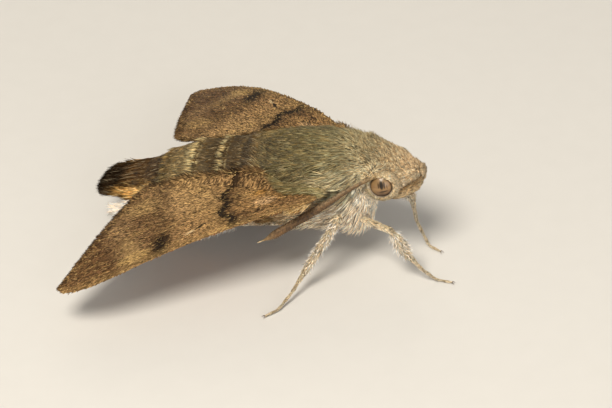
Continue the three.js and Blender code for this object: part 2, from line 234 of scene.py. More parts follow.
def smooth_path(points, count):
    """Evenly spaced places on a smooth curve through a few points."""
    points = np.asarray(points, float)
    ends = [2 * points[0] - points[1], *points, 2 * points[-1] - points[-2]]
    fine = []
    for p0, p1, p2, p3 in zip(ends, ends[1:], ends[2:], ends[3:]):
        d0, d1, d2 = (max(np.linalg.norm(b - a), 1e-6) ** 0.5 for a, b in ((p0, p1), (p1, p2), (p2, p3)))
        out = ((p1 - p0) / d0 - (p2 - p0) / (d0 + d1) + (p2 - p1) / d1) * d1
        into = ((p2 - p1) / d1 - (p3 - p1) / (d1 + d2) + (p3 - p2) / d2) * d1
        t = np.linspace(0, 1, 40, endpoint=False)[:, None]
        fine.append((2 * t**3 - 3 * t**2 + 1) * p1 + (t**3 - 2 * t**2 + t) * out
                    + (3 * t**2 - 2 * t**3) * p2 + (t**3 - t**2) * into)
    fine = np.vstack([*fine, points[-1:]])
    return evenly(fine, count)


def evenly(path, count):
    """The same polyline with its points evenly spaced."""
    length = np.concatenate([[0], np.cumsum(np.linalg.norm(np.diff(path, axis=0), axis=1))])
    wanted = np.linspace(0, length[-1], count)
    return np.stack([np.interp(wanted, length, path[:, axis]) for axis in range(3)], -1)


# ---- trunk

def outline_at(place):
    """Half width, top and bottom of the trunk, on the same cubic as the solids."""
    knots = TRUNK_OUTLINE[:, 0]
    last = len(knots) - 1
    place = np.clip(place, knots[0], knots[-1])
    right = np.clip(np.searchsorted(knots, place, side="right"), 1, last)
    left = right - 1
    before = np.where(left == 0, right, left - 1)
    after = np.where(right == last, left, right + 1)
    t0, t1, t_before, t_after = knots[left], knots[right], knots[before], knots[after]
    weight_before = 0.5 * (t1 - t0) / (t0 - t_before)
    weight_after = 0.5 * (t1 - t0) / (t_after - t1)
    p = (place - t0) / (t1 - t0)
    share_before = weight_before * (-p**3 + 2 * p**2 - p)
    share_left = (1 + weight_before) * p**3 - (1.5 + 2 * weight_before) * p**2 - (0.5 - weight_before) * p + 1
    share_right = -(1 + weight_after) * p**3 + (1.5 + weight_after) * p**2 + 0.5 * p
    share_after = weight_after * (p**3 - p**2)
    rows = TRUNK_OUTLINE[:, 1:]
    mixed = (share_before[..., None] * rows[before] + share_left[..., None] * rows[left]
             + share_right[..., None] * rows[right] + share_after[..., None] * rows[after])
    return np.moveaxis(mixed, -1, 0)


def trunk_points(place, turn, grow):
    """Places on the trunk's outline, in the body's own frame; turn 0 is left, a quarter turn is the back."""
    place, turn = np.broadcast_arrays(np.asarray(place, float), np.asarray(turn, float))
    half_width, top, bottom = outline_at(place)
    across, up = np.cos(turn), np.sin(turn)
    narrowing = np.where(up < 0, np.maximum(np.abs(across), 1e-9) ** ((KEEL - 1) * up * up), 1)
    return np.stack([
        across * narrowing * np.maximum(half_width + grow, 0.05),
        place,
        (top + bottom) / 2 + up * np.maximum((top - bottom) / 2 + grow, 0.05),
    ], -1)


def eye_seat(side):
    """Middle of an eye, and the ways out, forwards and up from it."""
    centre = body_to_moth(across_sides(EYE_CENTRE, side))
    axis = unit(body_to_moth(across_sides(EYE_CENTRE + EYE_AXIS, side)) - centre)
    up = unit(np.array([0.0, 0.0, 1.0]) - axis * axis[2])
    return centre + OFFSET, axis, np.cross(axis, up) * side, up


def orbit(side, turn, spread):
    """Places on the rim of an eye and the way out there; the brow hangs lower over the front."""
    centre, axis, ahead, up = eye_seat(side)
    turn = np.asarray(turn)
    ring = np.cos(turn)[..., None] * ahead + np.sin(turn)[..., None] * up
    brow = smoothstep(np.cos(turn - BROW_TURN), -0.1, 0.95)
    radius = np.minimum(ORBIT_RADIUS - BROW_DEPTH * brow + spread, EYE_RADIUS * 0.93)[..., None]
    out = unit(axis * np.sqrt(EYE_RADIUS**2 - radius**2) + ring * radius)
    return centre + out * EYE_RADIUS, out, ring, brow


def coat_depth(place):
    return np.interp(place, COAT_DEPTH[:, 0], COAT_DEPTH[:, 1])


def ring_relief(place):
    """Each abdominal ring flares towards its rear edge and steps down onto the next."""
    in_ring = (place - WAIST) / RING_LENGTH
    on_abdomen = (in_ring > 0) & (in_ring < ABDOMEN_RINGS)
    share = in_ring - np.floor(in_ring)
    neck_fold = -0.22 * np.exp(-((place - NECK) / 0.22) ** 2)
    return np.where(on_abdomen, RING_FLARE * share**2, 0.0) + neck_fold


def skin_points(place, turn, relief=True):
    place = np.asarray(place, float)
    grow = -coat_depth(place) + (ring_relief(place) if relief else 0)
    return body_to_moth(trunk_points(place, turn, grow)) + OFFSET


def skin_frame(place, turn):
    """Root, way towards the tail, way round the body and way out of the skin."""
    root = skin_points(place, turn)
    smooth = skin_points(place, turn, relief=False)
    back = unit(skin_points(place + 0.05, turn, relief=False) - smooth)
    round_ = unit(skin_points(place, turn + 0.01, relief=False) - smooth)
    return root, back, round_, unit(np.cross(back, round_))


# ---- tubes: legs, palps, tufts, feelers

def tube(path, radius, flatness=1.0):
    """A path with a frame and a radius at each point."""
    path = np.asarray(path, float)
    ahead = unit(np.gradient(path, axis=0))
    side = np.zeros_like(path)
    side[0] = unit(np.cross(ahead[0], [0.13, 0.21, 1.0]))
    for i in range(1, len(path)):
        side[i] = unit(side[i - 1] - ahead[i] * np.dot(side[i - 1], ahead[i]))
    return {"path": path, "ahead": ahead, "side": side, "rise": np.cross(side, ahead),
            "radius": np.asarray(radius, float), "flatness": flatness}


def on_tube(shape, along, turn):
    """Place, way along, way out at shares along and round a tube."""
    position = np.asarray(along, float) * (len(shape["path"]) - 1)
    index = np.arange(len(shape["path"]))

    def between(values):
        return np.stack([np.interp(position, index, values[:, axis]) for axis in range(3)], -1)

    radius = np.maximum(np.interp(position, index, shape["radius"]), 0.01)
    across, up = np.cos(turn)[..., None], np.sin(turn)[..., None]
    out = unit(across * between(shape["side"]) + up * between(shape["rise"]))
    reach = out * radius[..., None]
    reach[..., 2] *= shape["flatness"]
    return between(shape["path"]) + reach, unit(between(shape["ahead"])), out


def leg_tube(name):
    """A leg's skin: hip, bristly shank swelling towards the ankle, and a foot of five beads."""
    joints = np.array(LEGS[name], float)
    kind = name.split("_")[0]
    reach = np.concatenate([[0], np.cumsum(np.linalg.norm(np.diff(joints, axis=0), axis=1))])
    count = int(reach[-1] / 0.1)
    wanted = np.linspace(0, reach[-1], count)
    path = np.stack([np.interp(wanted, reach, joints[:, axis]) for axis in range(3)], -1)
    for _ in range(3):
        path[1:-1] = (path[:-2] + 2 * path[1:-1] + path[2:]) / 4
    knee, ankle = reach[1], reach[2]
    radius = np.interp(wanted, reach, LEG_RADII[kind])
    middle_of_shank = (wanted - (knee + ankle) / 2) / (0.32 * (ankle - knee))
    radius += SHANK_SWELL[kind] * np.exp(-middle_of_shank**2)
    radius *= LEG_SKIN_SHARE
    radius -= 0.06 * np.exp(-((wanted - knee) / 0.2) ** 2)
    bead = (wanted - ankle) / ((reach[-1] - ankle) / 5)
    radius *= 1 - 0.2 * smoothstep(bead, 0, 0.4) * (0.5 + 0.5 * np.cos(2 * math.pi * bead))
    shape = tube(path + OFFSET, radius)
    shape["ankle"] = ankle / reach[-1]
    shape["knee"] = knee / reach[-1]
    return shape


def palp_tube(side):
    path = body_to_moth(across_sides(smooth_path(PALP_PATH, 40), side)) + OFFSET
    along = np.linspace(0, 1, 40)
    return tube(path, 0.36 * np.sqrt(1 - 0.82 * smoothstep(along, 0.55, 1.0) ** 2))


def tail_tuft_tube(side):
    path = body_to_moth(across_sides(smooth_path(TUFT_PATH, 30), side)) + OFFSET
    along = np.linspace(0, 1, 30)
    return tube(path, 0.55 * (1 - 0.7 * along), flatness=0.8)


# ---- wings

def lift_over_body(point):
    """Height that lays the wing on the flank of the abdomen instead of through it."""
    local = moth_to_body(point)
    half_width, top, bottom = outline_at(np.clip(local[:, 1], NOSE, TAIL_TIP))
    across = np.minimum(1, np.abs(local[:, 0]) / (half_width + WING_CLEARANCE))
    flank = (top + bottom) / 2 + ((top - bottom) / 2 + WING_CLEARANCE) * np.sqrt(1 - across**2)
    rise = flank - local[:, 2]
    return smoothstep(1 - across, 0, 0.1) * 0.5 * (rise + np.sqrt(rise**2 + 0.06))


def vein_ridge(span, chord):
    """Height of the veins, which fan out from the hinge and stand 0.03 mm proud of the film."""
    fan = (chord + 2.0) / (0.35 * span + 1.2)
    count = 3.1
    ridge = np.exp(-((np.abs((fan * count) % 1 - 0.5)) / 0.06) ** 2)
    return 0.03 * ridge * smoothstep(span, 3, 6)


def wing_points(span, chord, side, drop):
    """Middle surface of a wing, laid out on the left, span and chord measured from the hinge."""
    span, chord = np.asarray(span, float), np.asarray(chord, float)
    turn, stretch, droop, sink = WING_POSE[side]
    sweep = WING_SWEEP + turn
    flat = math.cos(WING_DROOP)
    span_way = np.array([math.sin(sweep) * flat, math.cos(sweep) * flat, -math.sin(WING_DROOP)])
    chord_way = np.array([-math.cos(sweep), math.sin(sweep), 0.0])
    point = WING_HINGE + span[:, None] * stretch * span_way + chord[:, None] * chord_way
    arch_along = np.sin(math.pi * (np.maximum(0, span) / (FOREWING_LENGTH * 1.07)) ** 1.15)
    point[:, 2] += WING_ARCH * arch_along * (1 - 0.05 * (chord + 2)) - drop - droop * smoothstep(span, 12, 22)
    point[:, 2] -= sink * smoothstep(span, 7, 1)
    if drop == 0:
        point[:, 2] += smoothstep(span, 2.5, 5.5) * lift_over_body(point)
        point[:, 2] += vein_ridge(span, chord)
    return point + OFFSET


def wing_frame(span, chord, side, drop=0.0):
    """Place on the wing, way towards its tip, way back across it and way out of its upper face."""
    here = wing_points(span, chord, side, drop)
    out_way = unit(wing_points(span + 0.1, chord, side, drop) - here)
    back_way = unit(wing_points(span, chord + 0.1, side, drop) - here)
    return here, out_way, back_way, unit(np.cross(out_way, back_way))


def forewing_lead(span):
    along = np.clip(span / FOREWING_LENGTH, 0, 1)
    shoulder = (1 - 0.6 * np.exp(-span / 0.9)) * smoothstep(span, 0.2, 1.6)
    return -(1.6 + 0.65 * along) * shoulder * (1 - along**10) ** (1 / 1.8)


def forewing_trail(span):
    beside_body = 0.2 + 0.655 * span
    outer_margin = 0.86 * (FOREWING_LENGTH - span)
    meet = outer_margin - beside_body
    return 0.5 * (beside_body + outer_margin - np.sqrt(meet * meet + 1.4))


def hindwing_lead(span):
    along = (span - HINDWING_FROM) / (HINDWING_TO - HINDWING_FROM)
    return 1.1 + 0.12 * span - 0.7 * np.sin(math.pi * along * 0.88)


def hindwing_trail(span):
    along = np.clip((span - HINDWING_FROM) / (HINDWING_TO - HINDWING_FROM), 0, 1)
    trail = 1.1 + 0.12 * span + 5.6 * np.maximum(0, np.sin(math.pi * along**0.85)) ** 0.7
    return np.maximum(trail, hindwing_lead(span) + 0.25)


WINGS = {
    "forewing": {"from": 1.25, "to": FOREWING_LENGTH - 0.03, "lead": forewing_lead,
                 "trail": forewing_trail, "drop": 0.0},
    "hindwing": {"from": HINDWING_FROM, "to": HINDWING_TO, "lead": hindwing_lead,
                 "trail": hindwing_trail, "drop": HINDWING_DROP},
}


# ---- meshes

def facing_out(points, faces):
    """The same faces, turned over if they look into the solid that they close."""
    points = points - points.mean(0)
    volume = 0.0
    for group in faces:
        for last in range(2, group.shape[1]):
            a, b, c = (points[group[:, corner]] for corner in (0, last - 1, last))
            volume += (a * np.cross(b, c)).sum()
    return [group[:, ::-1] for group in faces] if volume < 0 else faces


def new_piece(name, points, faces, material, vectors=None, numbers=None, uv=None):
    """A mesh object from points in millimetres, arrays of faces and named values at its points."""
    mesh = bpy.data.meshes.new(name)
    points = np.asarray(points, float)
    faces = facing_out(points, [np.asarray(group, np.int32) for group in faces])
    mesh.vertices.add(len(points))
    mesh.vertices.foreach_set("co", (np.asarray(points, np.float32) * MM).ravel())
    corners = np.concatenate([group.ravel() for group in faces])
    sizes = np.concatenate([np.full(len(group), group.shape[1]) for group in faces])
    mesh.loops.add(len(corners))
    mesh.loops.foreach_set("vertex_index", corners)
    mesh.polygons.add(len(sizes))
    mesh.polygons.foreach_set("loop_start", np.concatenate([[0], np.cumsum(sizes)[:-1]]).astype(np.int32))
    mesh.polygons.foreach_set("use_smooth", np.ones(len(sizes), bool))
    mesh.update(calc_edges=True)
    for label, values in (vectors or {}).items():
        layer = mesh.attributes.new(label, "FLOAT_VECTOR", "POINT")
        layer.data.foreach_set("vector", np.asarray(values, np.float32).ravel())
    for label, values in (numbers or {}).items():
        layer = mesh.attributes.new(label, "FLOAT", "POINT")
        layer.data.foreach_set("value", np.asarray(values, np.float32))
    if uv is not None:
        layer = mesh.uv_layers.new(name="OFBake")
        layer.data.foreach_set("uv", np.asarray(uv, np.float32)[corners].ravel())
    mesh.validate()
    mesh.materials.append(material)
    piece = bpy.data.objects.new(name, mesh)
    bpy.context.scene.collection.objects.link(piece)
    return piece


def settle(piece, nodes=()):
    """The piece rides on the model's one body and stands for these solids."""
    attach(piece, "root")
    if nodes:
        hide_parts(*nodes)
    return piece


def ring_faces(rings, sides):
    """Quads of a closed tube of rings."""
    ring, side = np.meshgrid(np.arange(rings - 1), np.arange(sides), indexing="ij")
    a = ring * sides + side
    b = ring * sides + (side + 1) % sides
    return np.stack([a, b, b + sides, a + sides], -1).reshape(-1, 4)


def closed_loft(rings):
    """Points and faces of a closed skin over rings, each end closed by a fan."""
    count, sides = rings.shape[:2]
    points = np.vstack([rings.reshape(-1, 3), rings[0].mean(0), rings[-1].mean(0)])
    side = np.arange(sides)
    after = (side + 1) % sides
    start, end = count * sides, count * sides + 1
    last = (count - 1) * sides
    caps = np.vstack([
        np.stack([np.full(sides, start), after, side], -1),
        np.stack([np.full(sides, end), last + side, last + after], -1),
    ])
    return points, [ring_faces(count, sides), caps]


def tube_loft(shape, sides=20):
    """A tube as a closed loft with rounded ends."""
    along = np.linspace(0, 1, len(shape["path"]))
    turn = np.linspace(0, 2 * math.pi, sides, endpoint=False)
    grid_along, grid_turn = np.meshgrid(along, turn, indexing="ij")
    rings, _, _ = on_tube(shape, grid_along, grid_turn)
    caps = []
    for end, way in ((0, -1), (-1, 1)):
        centre, ahead = shape["path"][end], shape["ahead"][end] * way
        radius = shape["radius"][end]
        caps.append([centre + (rings[end] - centre) * math.cos(a) + ahead * radius * math.sin(a)
                     for a in (0.5, 1.0, 1.35)])
    return closed_loft(np.concatenate([caps[0][::-1], rings, caps[1]]))


def rim_loft(side, spread, minor):
    """A closed ring of flesh on the rim of an eye, as points and faces."""
    sides, count = 10, 64
    turn = np.linspace(0, 2 * math.pi, count, endpoint=False)
    path, out, _, _ = orbit(side, turn, spread)
    along = unit(np.roll(path, -1, 0) - np.roll(path, 1, 0))
    across = np.cross(out, along)
    tilt = np.linspace(0, 2 * math.pi, sides, endpoint=False)
    ring = out[:, None] * np.cos(tilt)[:, None] + across[:, None] * np.sin(tilt)[:, None]
    points = path[:, None] + minor * ring
    step, side = np.meshgrid(np.arange(count), np.arange(sides), indexing="ij")
    here, after = step * sides, ((step + 1) % count) * sides
    beside = (side + 1) % sides
    faces = np.stack([here + side, after + side, after + beside, here + beside], -1).reshape(-1, 4)
    return points.reshape(-1, 3), [faces]


def joined(parts):
    """Several (points, faces) as one."""
    points, faces, start = [], [], 0
    for part_points, part_faces in parts:
        points.append(part_points)
        faces += [np.asarray(group) + start for group in part_faces]
        start += len(part_points)
    return np.vstack(points), faces


# ---- tufts
#
# A moth's hair-scales are 0.01 to 0.03 mm wide and its wing scales 0.05 to 0.1 mm. Each tuft here
# stands for a lock of them, 0.05 to 0.12 mm wide, or 0.15 mm on the wings, so that it shows.

SECTION = np.radians([90.0, 210.0, 330.0])


def locks(root):
    """A smooth field between -1 and 1 over about half a millimetre, so that hair lies in locks."""
    x, y, z = np.moveaxis(root, -1, 0)
    one = np.sin(7.1 * x + 1.9 * y + 3.0 * np.sin(1.3 * y + 2.1 * z))
    other = np.sin(6.3 * z - 2.2 * y + 2.5 * np.sin(1.7 * x))
    return one * other


def at_roots(value, *where):
    """A number, or a rule for one, as an array over all roots."""
    return value(*where) if callable(value) else np.full(len(where[0]), value)


def bundle(root, lie, out, place, uv, length, width, lift, droop=0.0, mess=0.12, rings=1, flat=0.6):
    """Tufts to grow: where each one's root is, how it lies, and its sizes.

    lie and out are ways along and out of the skin, lift the angle between hair and skin, droop its bend
    back to it and mess how unevenly it is combed. rings is 1 for short hair and scales and 2 for long
    hair; flat is 1 for a round tuft and less for a flatter one.
    """
    return {"root": root, "lie": unit(lie), "out": out, "place": place, "uv": uv, "length": length,
            "width": width, "lift": lift, "droop": droop, "mess": mess, "rings": rings, "flat": flat}


def grow_tufts(name, material, tufts, rng):
    """One coat piece: closed three-sided tufts, bent back towards the skin, pointed at both ends."""
    root, out = tufts["root"], tufts["out"]
    count = len(root)
    lock = locks(root)[:, None]
    lift = (tufts["lift"] * rng.uniform(0.5, 1.5, count))[:, None] * (1 + 0.3 * lock)
    skew = rng.normal(0, tufts["mess"], count)[:, None] + 0.14 * lock
    side = unit(np.cross(out, tufts["lie"]))
    lie = unit(tufts["lie"] + side * skew)
    side = unit(np.cross(out, lie))
    way = lie * np.cos(lift) + out * np.sin(lift)
    length = (tufts["length"] * rng.uniform(0.72, 1.22, count))[:, None]
    width = (tufts["width"] * rng.uniform(0.75, 1.25, count))[:, None]
    droop = np.broadcast_to(tufts["droop"], count)[:, None]
    shares = {1: [(0.42, 1.0)], 2: [(0.22, 0.85), (0.62, 0.8)]}[tufts["rings"]]

    def spine(share):
        return root - out * ROOT_DEPTH + way * length * share - out * droop * length * share**2

    points = [spine(0.0)]
    tips = [np.zeros(count)]
    patch = [np.tile([-1.0, 0.0], (count, 1))]
    for share, swell in shares:
        for angle in SECTION:
            offset = side * math.cos(angle) + out * math.sin(angle) * tufts["flat"]
            points.append(spine(share) + offset * width * swell / 2)
            tips.append(np.full(count, share))
            patch.append(np.tile([share * 2 - 1, math.cos(angle)], (count, 1)))
    points.append(spine(1.0))
    tips.append(np.ones(count))
    patch.append(np.tile([1.0, 0.0], (count, 1)))
    per_tuft = len(points)
    points = np.stack(points, 1)
    points[..., 2] = np.maximum(points[..., 2], FLOOR_GAP)
    last = per_tuft - 1
    faces = []
    for k in range(3):
        after = (k + 1) % 3
        faces.append((0, 1 + after, 1 + k))
        for ring in range(len(shares) - 1):
            a, b = 1 + ring * 3 + k, 1 + ring * 3 + after
            faces += [(a, b, b + 3), (a, b + 3, a + 3)]
        faces.append((last - 3 + k, last - 3 + after, last))
    faces = (np.array(faces)[None] + (np.arange(count) * per_tuft)[:, None, None]).reshape(-1, 3)
    uv = tufts["uv"][:, None] + np.stack(patch, 1) * UV_REACH
    tint = np.repeat(rng.normal(0, 1, count), per_tuft)
    piece = new_piece(
        name, points.reshape(-1, 3), [faces], material,
        vectors={"place": np.repeat(tufts["place"], per_tuft, 0), "root": np.repeat(root, per_tuft, 0)},
        numbers={"tip": np.stack(tips, 1).ravel(), "tint": tint},
        uv=np.clip(uv, 0, 1).reshape(-1, 2),
    )
    return settle(piece)


def merged(groups):
    """Several groups of tufts as one, with numbers spread over their roots."""
    def spread(tufts, key):
        return np.broadcast_to(tufts[key], (len(tufts["root"]),) + np.shape(tufts[key])[1:])

    both = dict(groups[0])
    for key in ("root", "lie", "out", "place", "uv", "length", "width", "lift", "droop", "mess"):
        both[key] = np.concatenate([spread(tufts, key) for tufts in groups])
    return both


def trunk_roots(rng, count, places, turns):
    """Random places and turns on the trunk, even over its surface."""
    tries = count * 6
    place = rng.uniform(*places, tries)
    turn = rng.uniform(*np.radians(turns), tries)
    half_width, top, bottom = outline_at(place)
    widest = 8.6
    chance = (half_width + (top - bottom) / 2) / widest
    keep = np.nonzero(rng.random(tries) < chance)[0][:count]
    return place[keep], turn[keep]


def trunk_uv(place, turn, places):
    """Unwrap of the trunk's own skin: along the axis and round it."""
    along = (place - places[0]) / (places[1] - places[0])
    around = (turn / (2 * math.pi) + 0.25) % 1
    return UV_MARGIN + (1 - 2 * UV_MARGIN) * np.stack([along, around], -1)


def trunk_tufts(rng, count, places, turns, length, width, lift, sweep=0.0, keep=None, **shape):
    """Tufts over a stretch of the trunk; sweep turns their lie from straight back towards the midline."""
    place, turn = trunk_roots(rng, count, places, turns)
    root, back, round_, out = skin_frame(place, turn)
    toward_midline = round_ * np.sign(np.cos(turn))[:, None]
    angle = at_roots(sweep, place, turn)[:, None]
    lie = back * np.cos(angle) + toward_midline * np.sin(angle)
    if keep is not None:
        root, lie, out, place, turn = keep(root, lie, out, place, turn)
    sizes = (at_roots(value, place, turn) for value in (length, width, lift))
    where = triples(place, np.sin(turn), ON_TRUNK)
    return bundle(root, lie, out, where, trunk_uv(place, turn, places), *sizes, **shape)


def tube_tufts(rng, tube_shape, count, length, width, lift, kind, strip, along=(0.0, 1.0), **shape):
    """Tufts over a tube; strip is the tube's share of the coat piece's unwrap."""
    share = rng.uniform(*along, count)
    turn = rng.uniform(0, 2 * math.pi, count)
    root, ahead, out = on_tube(tube_shape, share, turn)
    sizes = (at_roots(value, share, turn) for value in (length, width, lift))
    low, high = strip
    around = low + (high - low) * (0.03 + 0.94 * turn / (2 * math.pi))
    uv = np.stack([UV_MARGIN + (1 - 2 * UV_MARGIN) * share, around], -1)
    return bundle(root, ahead, out, triples(share, out[:, 2], kind), uv, *sizes, **shape)


# ---- nodes

def linear(colour):
    """sRGB hex to linear RGBA."""
    parts = [int(colour[i:i + 2], 16) / 255 for i in (1, 3, 5)]
    return tuple(c / 12.92 if c <= 0.04045 else ((c + 0.055) / 1.055) ** 2.4 for c in parts) + (1.0,)


WARM_GLOSS = (1.0, 0.78, 0.56, 1.0)    # thin brown chitin tints what it reflects

# Settings that many nodes share.
SOFT = {"interpolation_type": "SMOOTHSTEP"}
COLOURS = {"data_type": "RGBA"}
TIMES = {"operation": "MULTIPLY"}
PLUS = {"operation": "ADD"}


def first_output(node):
    """The first socket that the node's settings leave in use."""
    return next(socket for socket in node.outputs if socket.enabled)


def add_node(tree, kind, values=(), stops=None, **settings):
    """Add one node, set its properties, and fill its inputs in order or by name.

    A value is a number, a vector, a hex colour, a socket, or a node for its first output.
    """
    node = tree.nodes.new("ShaderNode" + kind)
    for label, value in settings.items():
        setattr(node, label, value)
    if stops:
        ramp = node.color_ramp
        while len(ramp.elements) < len(stops):
            ramp.elements.new(0.5)
        for element, (position, colour) in zip(ramp.elements, stops):
            element.position = position
            element.color = linear(colour)
    if isinstance(values, dict):
        pairs = [(node.inputs[label], value) for label, value in values.items()]
    else:
        pairs = zip([s for s in node.inputs if s.enabled], values)
    for socket, value in pairs:
        if isinstance(value, str):
            value = linear(value)
        if isinstance(value, bpy.types.Node):
            value = first_output(value)
        if isinstance(value, bpy.types.NodeSocket):
            tree.links.new(value, socket)
        else:
            socket.default_value = value
    return node


def new_material(name):
    """A material with an empty tree, and add_node for that tree."""
    material = bpy.data.materials.new(name)
    material.use_nodes = True
    material.node_tree.nodes.clear()
    return material, functools.partial(add_node, material.node_tree)


def new_group(name):
    """A node group that gives one colour, and add_node for it."""
    group = bpy.data.node_groups.new(name, "ShaderNodeTree")
    group.interface.new_socket("Color", in_out="OUTPUT", socket_type="NodeSocketColor")
    return group, functools.partial(add_node, group)


def end_group(group, colour):
    group.links.new(first_output(colour), group.nodes.new("NodeGroupOutput").inputs[0])
    return group


def laid_over(add, colour, *layers):
    """Lay tones over a colour in turn, each coming in softly as its own value goes from start to end."""
    for value, start, end, strength, tone in layers:
        share = add("MapRange", [value, start, end, 0.0, strength], **SOFT)
        colour = add("Mix", [share, colour, tone], **COLOURS)
    return colour


def in_oval(add, span, chord, middle, reach):
    """Squared distance from the middle of an oval on the wing, 1 on its edge."""
    squares = []
    for value, centre, half in zip((span, chord), middle, reach):
        offset = add("Math", [value, centre], operation="SUBTRACT")
        share = add("Math", [offset, half], operation="DIVIDE")
        squares.append(add("Math", [share, share], **TIMES))
    return add("Math", squares, **PLUS)


def scale_rows(add, wing, across, dark, light):
    """Rows of scales, 5 to the millimetre along the wing: their relief and each one's own brightness."""
    where = add("Mapping", {"Vector": wing, "Scale": (5.0, across, 1.0)})
    cells = add("TexVoronoi", {"Vector": where, "Scale": 1.0})
    own = add("SeparateColor", [cells.outputs["Color"]]).outputs[0]
    return cells.outputs["Distance"], add("MapRange", [own, 0.0, 1.0, dark, light])


def along_body(stops):
    """Ramp stops from places along the body axis in millimetres."""
    return [((place - NOSE) / (TAIL_TIP - NOSE), colour) for place, colour in stops]


# Colours of the coat from brow to tail tip, at places along the body axis.
BACK_STOPS = [
    (-10.3, "#9c8c73"), (-9.7, "#ad997c"), (-8.6, "#9c8c70"), (-7.2, "#84795e"), (-6.2, "#8c8367"),
    (-5.0, "#857e5e"), (-3.4, "#7c734f"), (-0.6, "#746945"), (0.4, "#726644"), (1.2, "#887851"),
    (1.9, "#584930"), (2.75, "#4c3d27"), (2.95, "#786746"), (3.15, "#493a24"), (4.5, "#4a3b24"),
    (4.64, "#b5a376"), (4.88, "#b5a376"), (5.0, "#45361f"), (6.9, "#5a4b30"), (7.05, "#bba97b"),
    (7.3, "#bba97b"), (7.6, "#8f7f59"), (9.1, "#7d6c48"), (9.65, "#54442c"), (9.9, "#a8925f"),
    (10.15, "#2e2214"), (11.2, "#49361f"), (12.2, "#4b3721"), (12.9, "#271a0d"), (14.6, "#180e05"),
    (16.1, "#110a04"),
]
FLANK_STOPS = [
    (-10.3, "#b3a389"), (-9.3, "#af9d80"), (-8.3, "#b5a688"), (-7.0, "#aca083"), (-6.2, "#b5ac8f"),
    (-4.6, "#b7b094"), (-2.5, "#988a63"), (0.2, "#847653"), (1.4, "#786542"), (2.6, "#6d5837"),
    (4.5, "#5c4a2a"), (4.64, "#bcab7e"), (4.9, "#bcab7e"), (5.05, "#564428"), (6.85, "#6c5a3a"),
    (7.05, "#c3b386"), (7.7, "#c2b188"), (9.3, "#b9a478"), (9.9, "#b89e69"), (10.15, "#3a2c1c"),
    (10.6, "#8b6d3a"), (11.6, "#dab777"), (12.9, "#b69056"), (13.6, "#67502f"), (14.4, "#2f2011"),
    (16.1, "#170e06"),
]
# Behind the waist the belly is brown, its own colour painted darker still as shade under the wings.
BELLY_STOPS = [
    (-10.3, "#a4937a"), (-9.6, "#b5a58b"), (-8.4, "#e0d6c3"), (-6.0, "#e2dacb"), (-3.0, "#e4dbc9"),
    (-0.8, "#d2c4a5"), (1.0, "#8a6f48"), (6.0, "#7a5f3c"), (9.8, "#86683e"), (11.8, "#b38a48"),
    (13.2, "#42301b"), (16.1, "#1d130a"),
]
GOLD_STOPS = [(0.3, "#84653b"), (0.5, "#a88a58"), (0.7, "#d3c096")]


def coat_markings():
    """Node group: the colour of the coat at a root, the same for skin and tufts."""
    group, add = new_group("coat markings")
    along, up, kind = add("SeparateXYZ", [add("Attribute", attribute_name="place").outputs["Vector"]]).outputs
    root = add("Attribute", attribute_name="root").outputs["Vector"]
    # Patches of hair 0.6 mm across wander over each border by about 0.2 mm.
    shift = add("MapRange", [add("TexNoise", {"Vector": root, "Scale": 1.7}), 0.3, 0.7, -0.08, 0.08])
    share = add("MapRange", [add("Math", [along, shift], **PLUS), NOSE, TAIL_TIP])
    back = add("ValToRGB", [share], along_body(BACK_STOPS))
    flank = add("ValToRGB", [share], along_body(FLANK_STOPS))
    belly = add("ValToRGB", [share], along_body(BELLY_STOPS))
    # Height round the body, borders broken by the same patches.
    height = add("Math", [shift, 2.2, up], operation="MULTIPLY_ADD")
    trunk = laid_over(add, flank, (height, 0.28, 0.72, 1.0, back), (height, 0.2, -0.2, 1.0, belly))
    # Pale hair rings the eyes, 1.2 to 1.75 mm from their middles, with a brown line at the very rim that is
    # painted shade in the fold where eye and head meet.
    across = add("SeparateXYZ", [add("VectorMath", [root], operation="ABSOLUTE")]).outputs[0]
    _, y, z = add("SeparateXYZ", [root]).outputs
    folded = add("CombineXYZ", [across, y, z])
    eye = tuple(body_to_moth(EYE_CENTRE) + OFFSET)
    from_eye = add("VectorMath", [folded, eye], operation="DISTANCE").outputs["Value"]
    trunk = laid_over(add, trunk, (from_eye, 1.75, 1.25, 0.35, "#cdbd9f"),
                      (from_eye, 1.29, 1.22, 0.5, "#7b6244"))
    # Legs: pale grey-beige, browner above, the feet lightly banded.
    leg = add("Mix", [add("MapRange", [up, -0.6, 0.8]), "#d0c5b1", "#beb197"], **COLOURS)
    bands = add("Math", [add("Math", [along, 62.0], **TIMES)], operation="SINE")
    on_foot = add("MapRange", [along, 0.62, 0.72, 0.0, 0.35])
    banded = add("Math", [add("MapRange", [bands, 0.2, 0.9]), on_foot], **TIMES)
    leg = add("Mix", [banded, leg, "#7d6546"], **COLOURS)
    # Palps: pale beneath and browner above, their own colours; the darkest top edge is painted shade in the
    # crease where they meet the face.
    palp = add("ValToRGB", [add("MapRange", [up, -1.0, 1.0])], [
        (0.0, "#ab987a"), (0.35, "#ae9b7b"), (0.65, "#9d896b"), (0.85, "#806b4d"), (1.0, "#756144")])
    colour = trunk
    for limb, tone in ((ON_LEG, leg), (ON_PALP, palp), (ON_TUFT, "#f6f3ee")):
        on_limb = add("Math", [kind, limb, 0.4], operation="COMPARE")
        colour = add("Mix", [on_limb, colour, tone], **COLOURS)
    return end_group(group, colour)


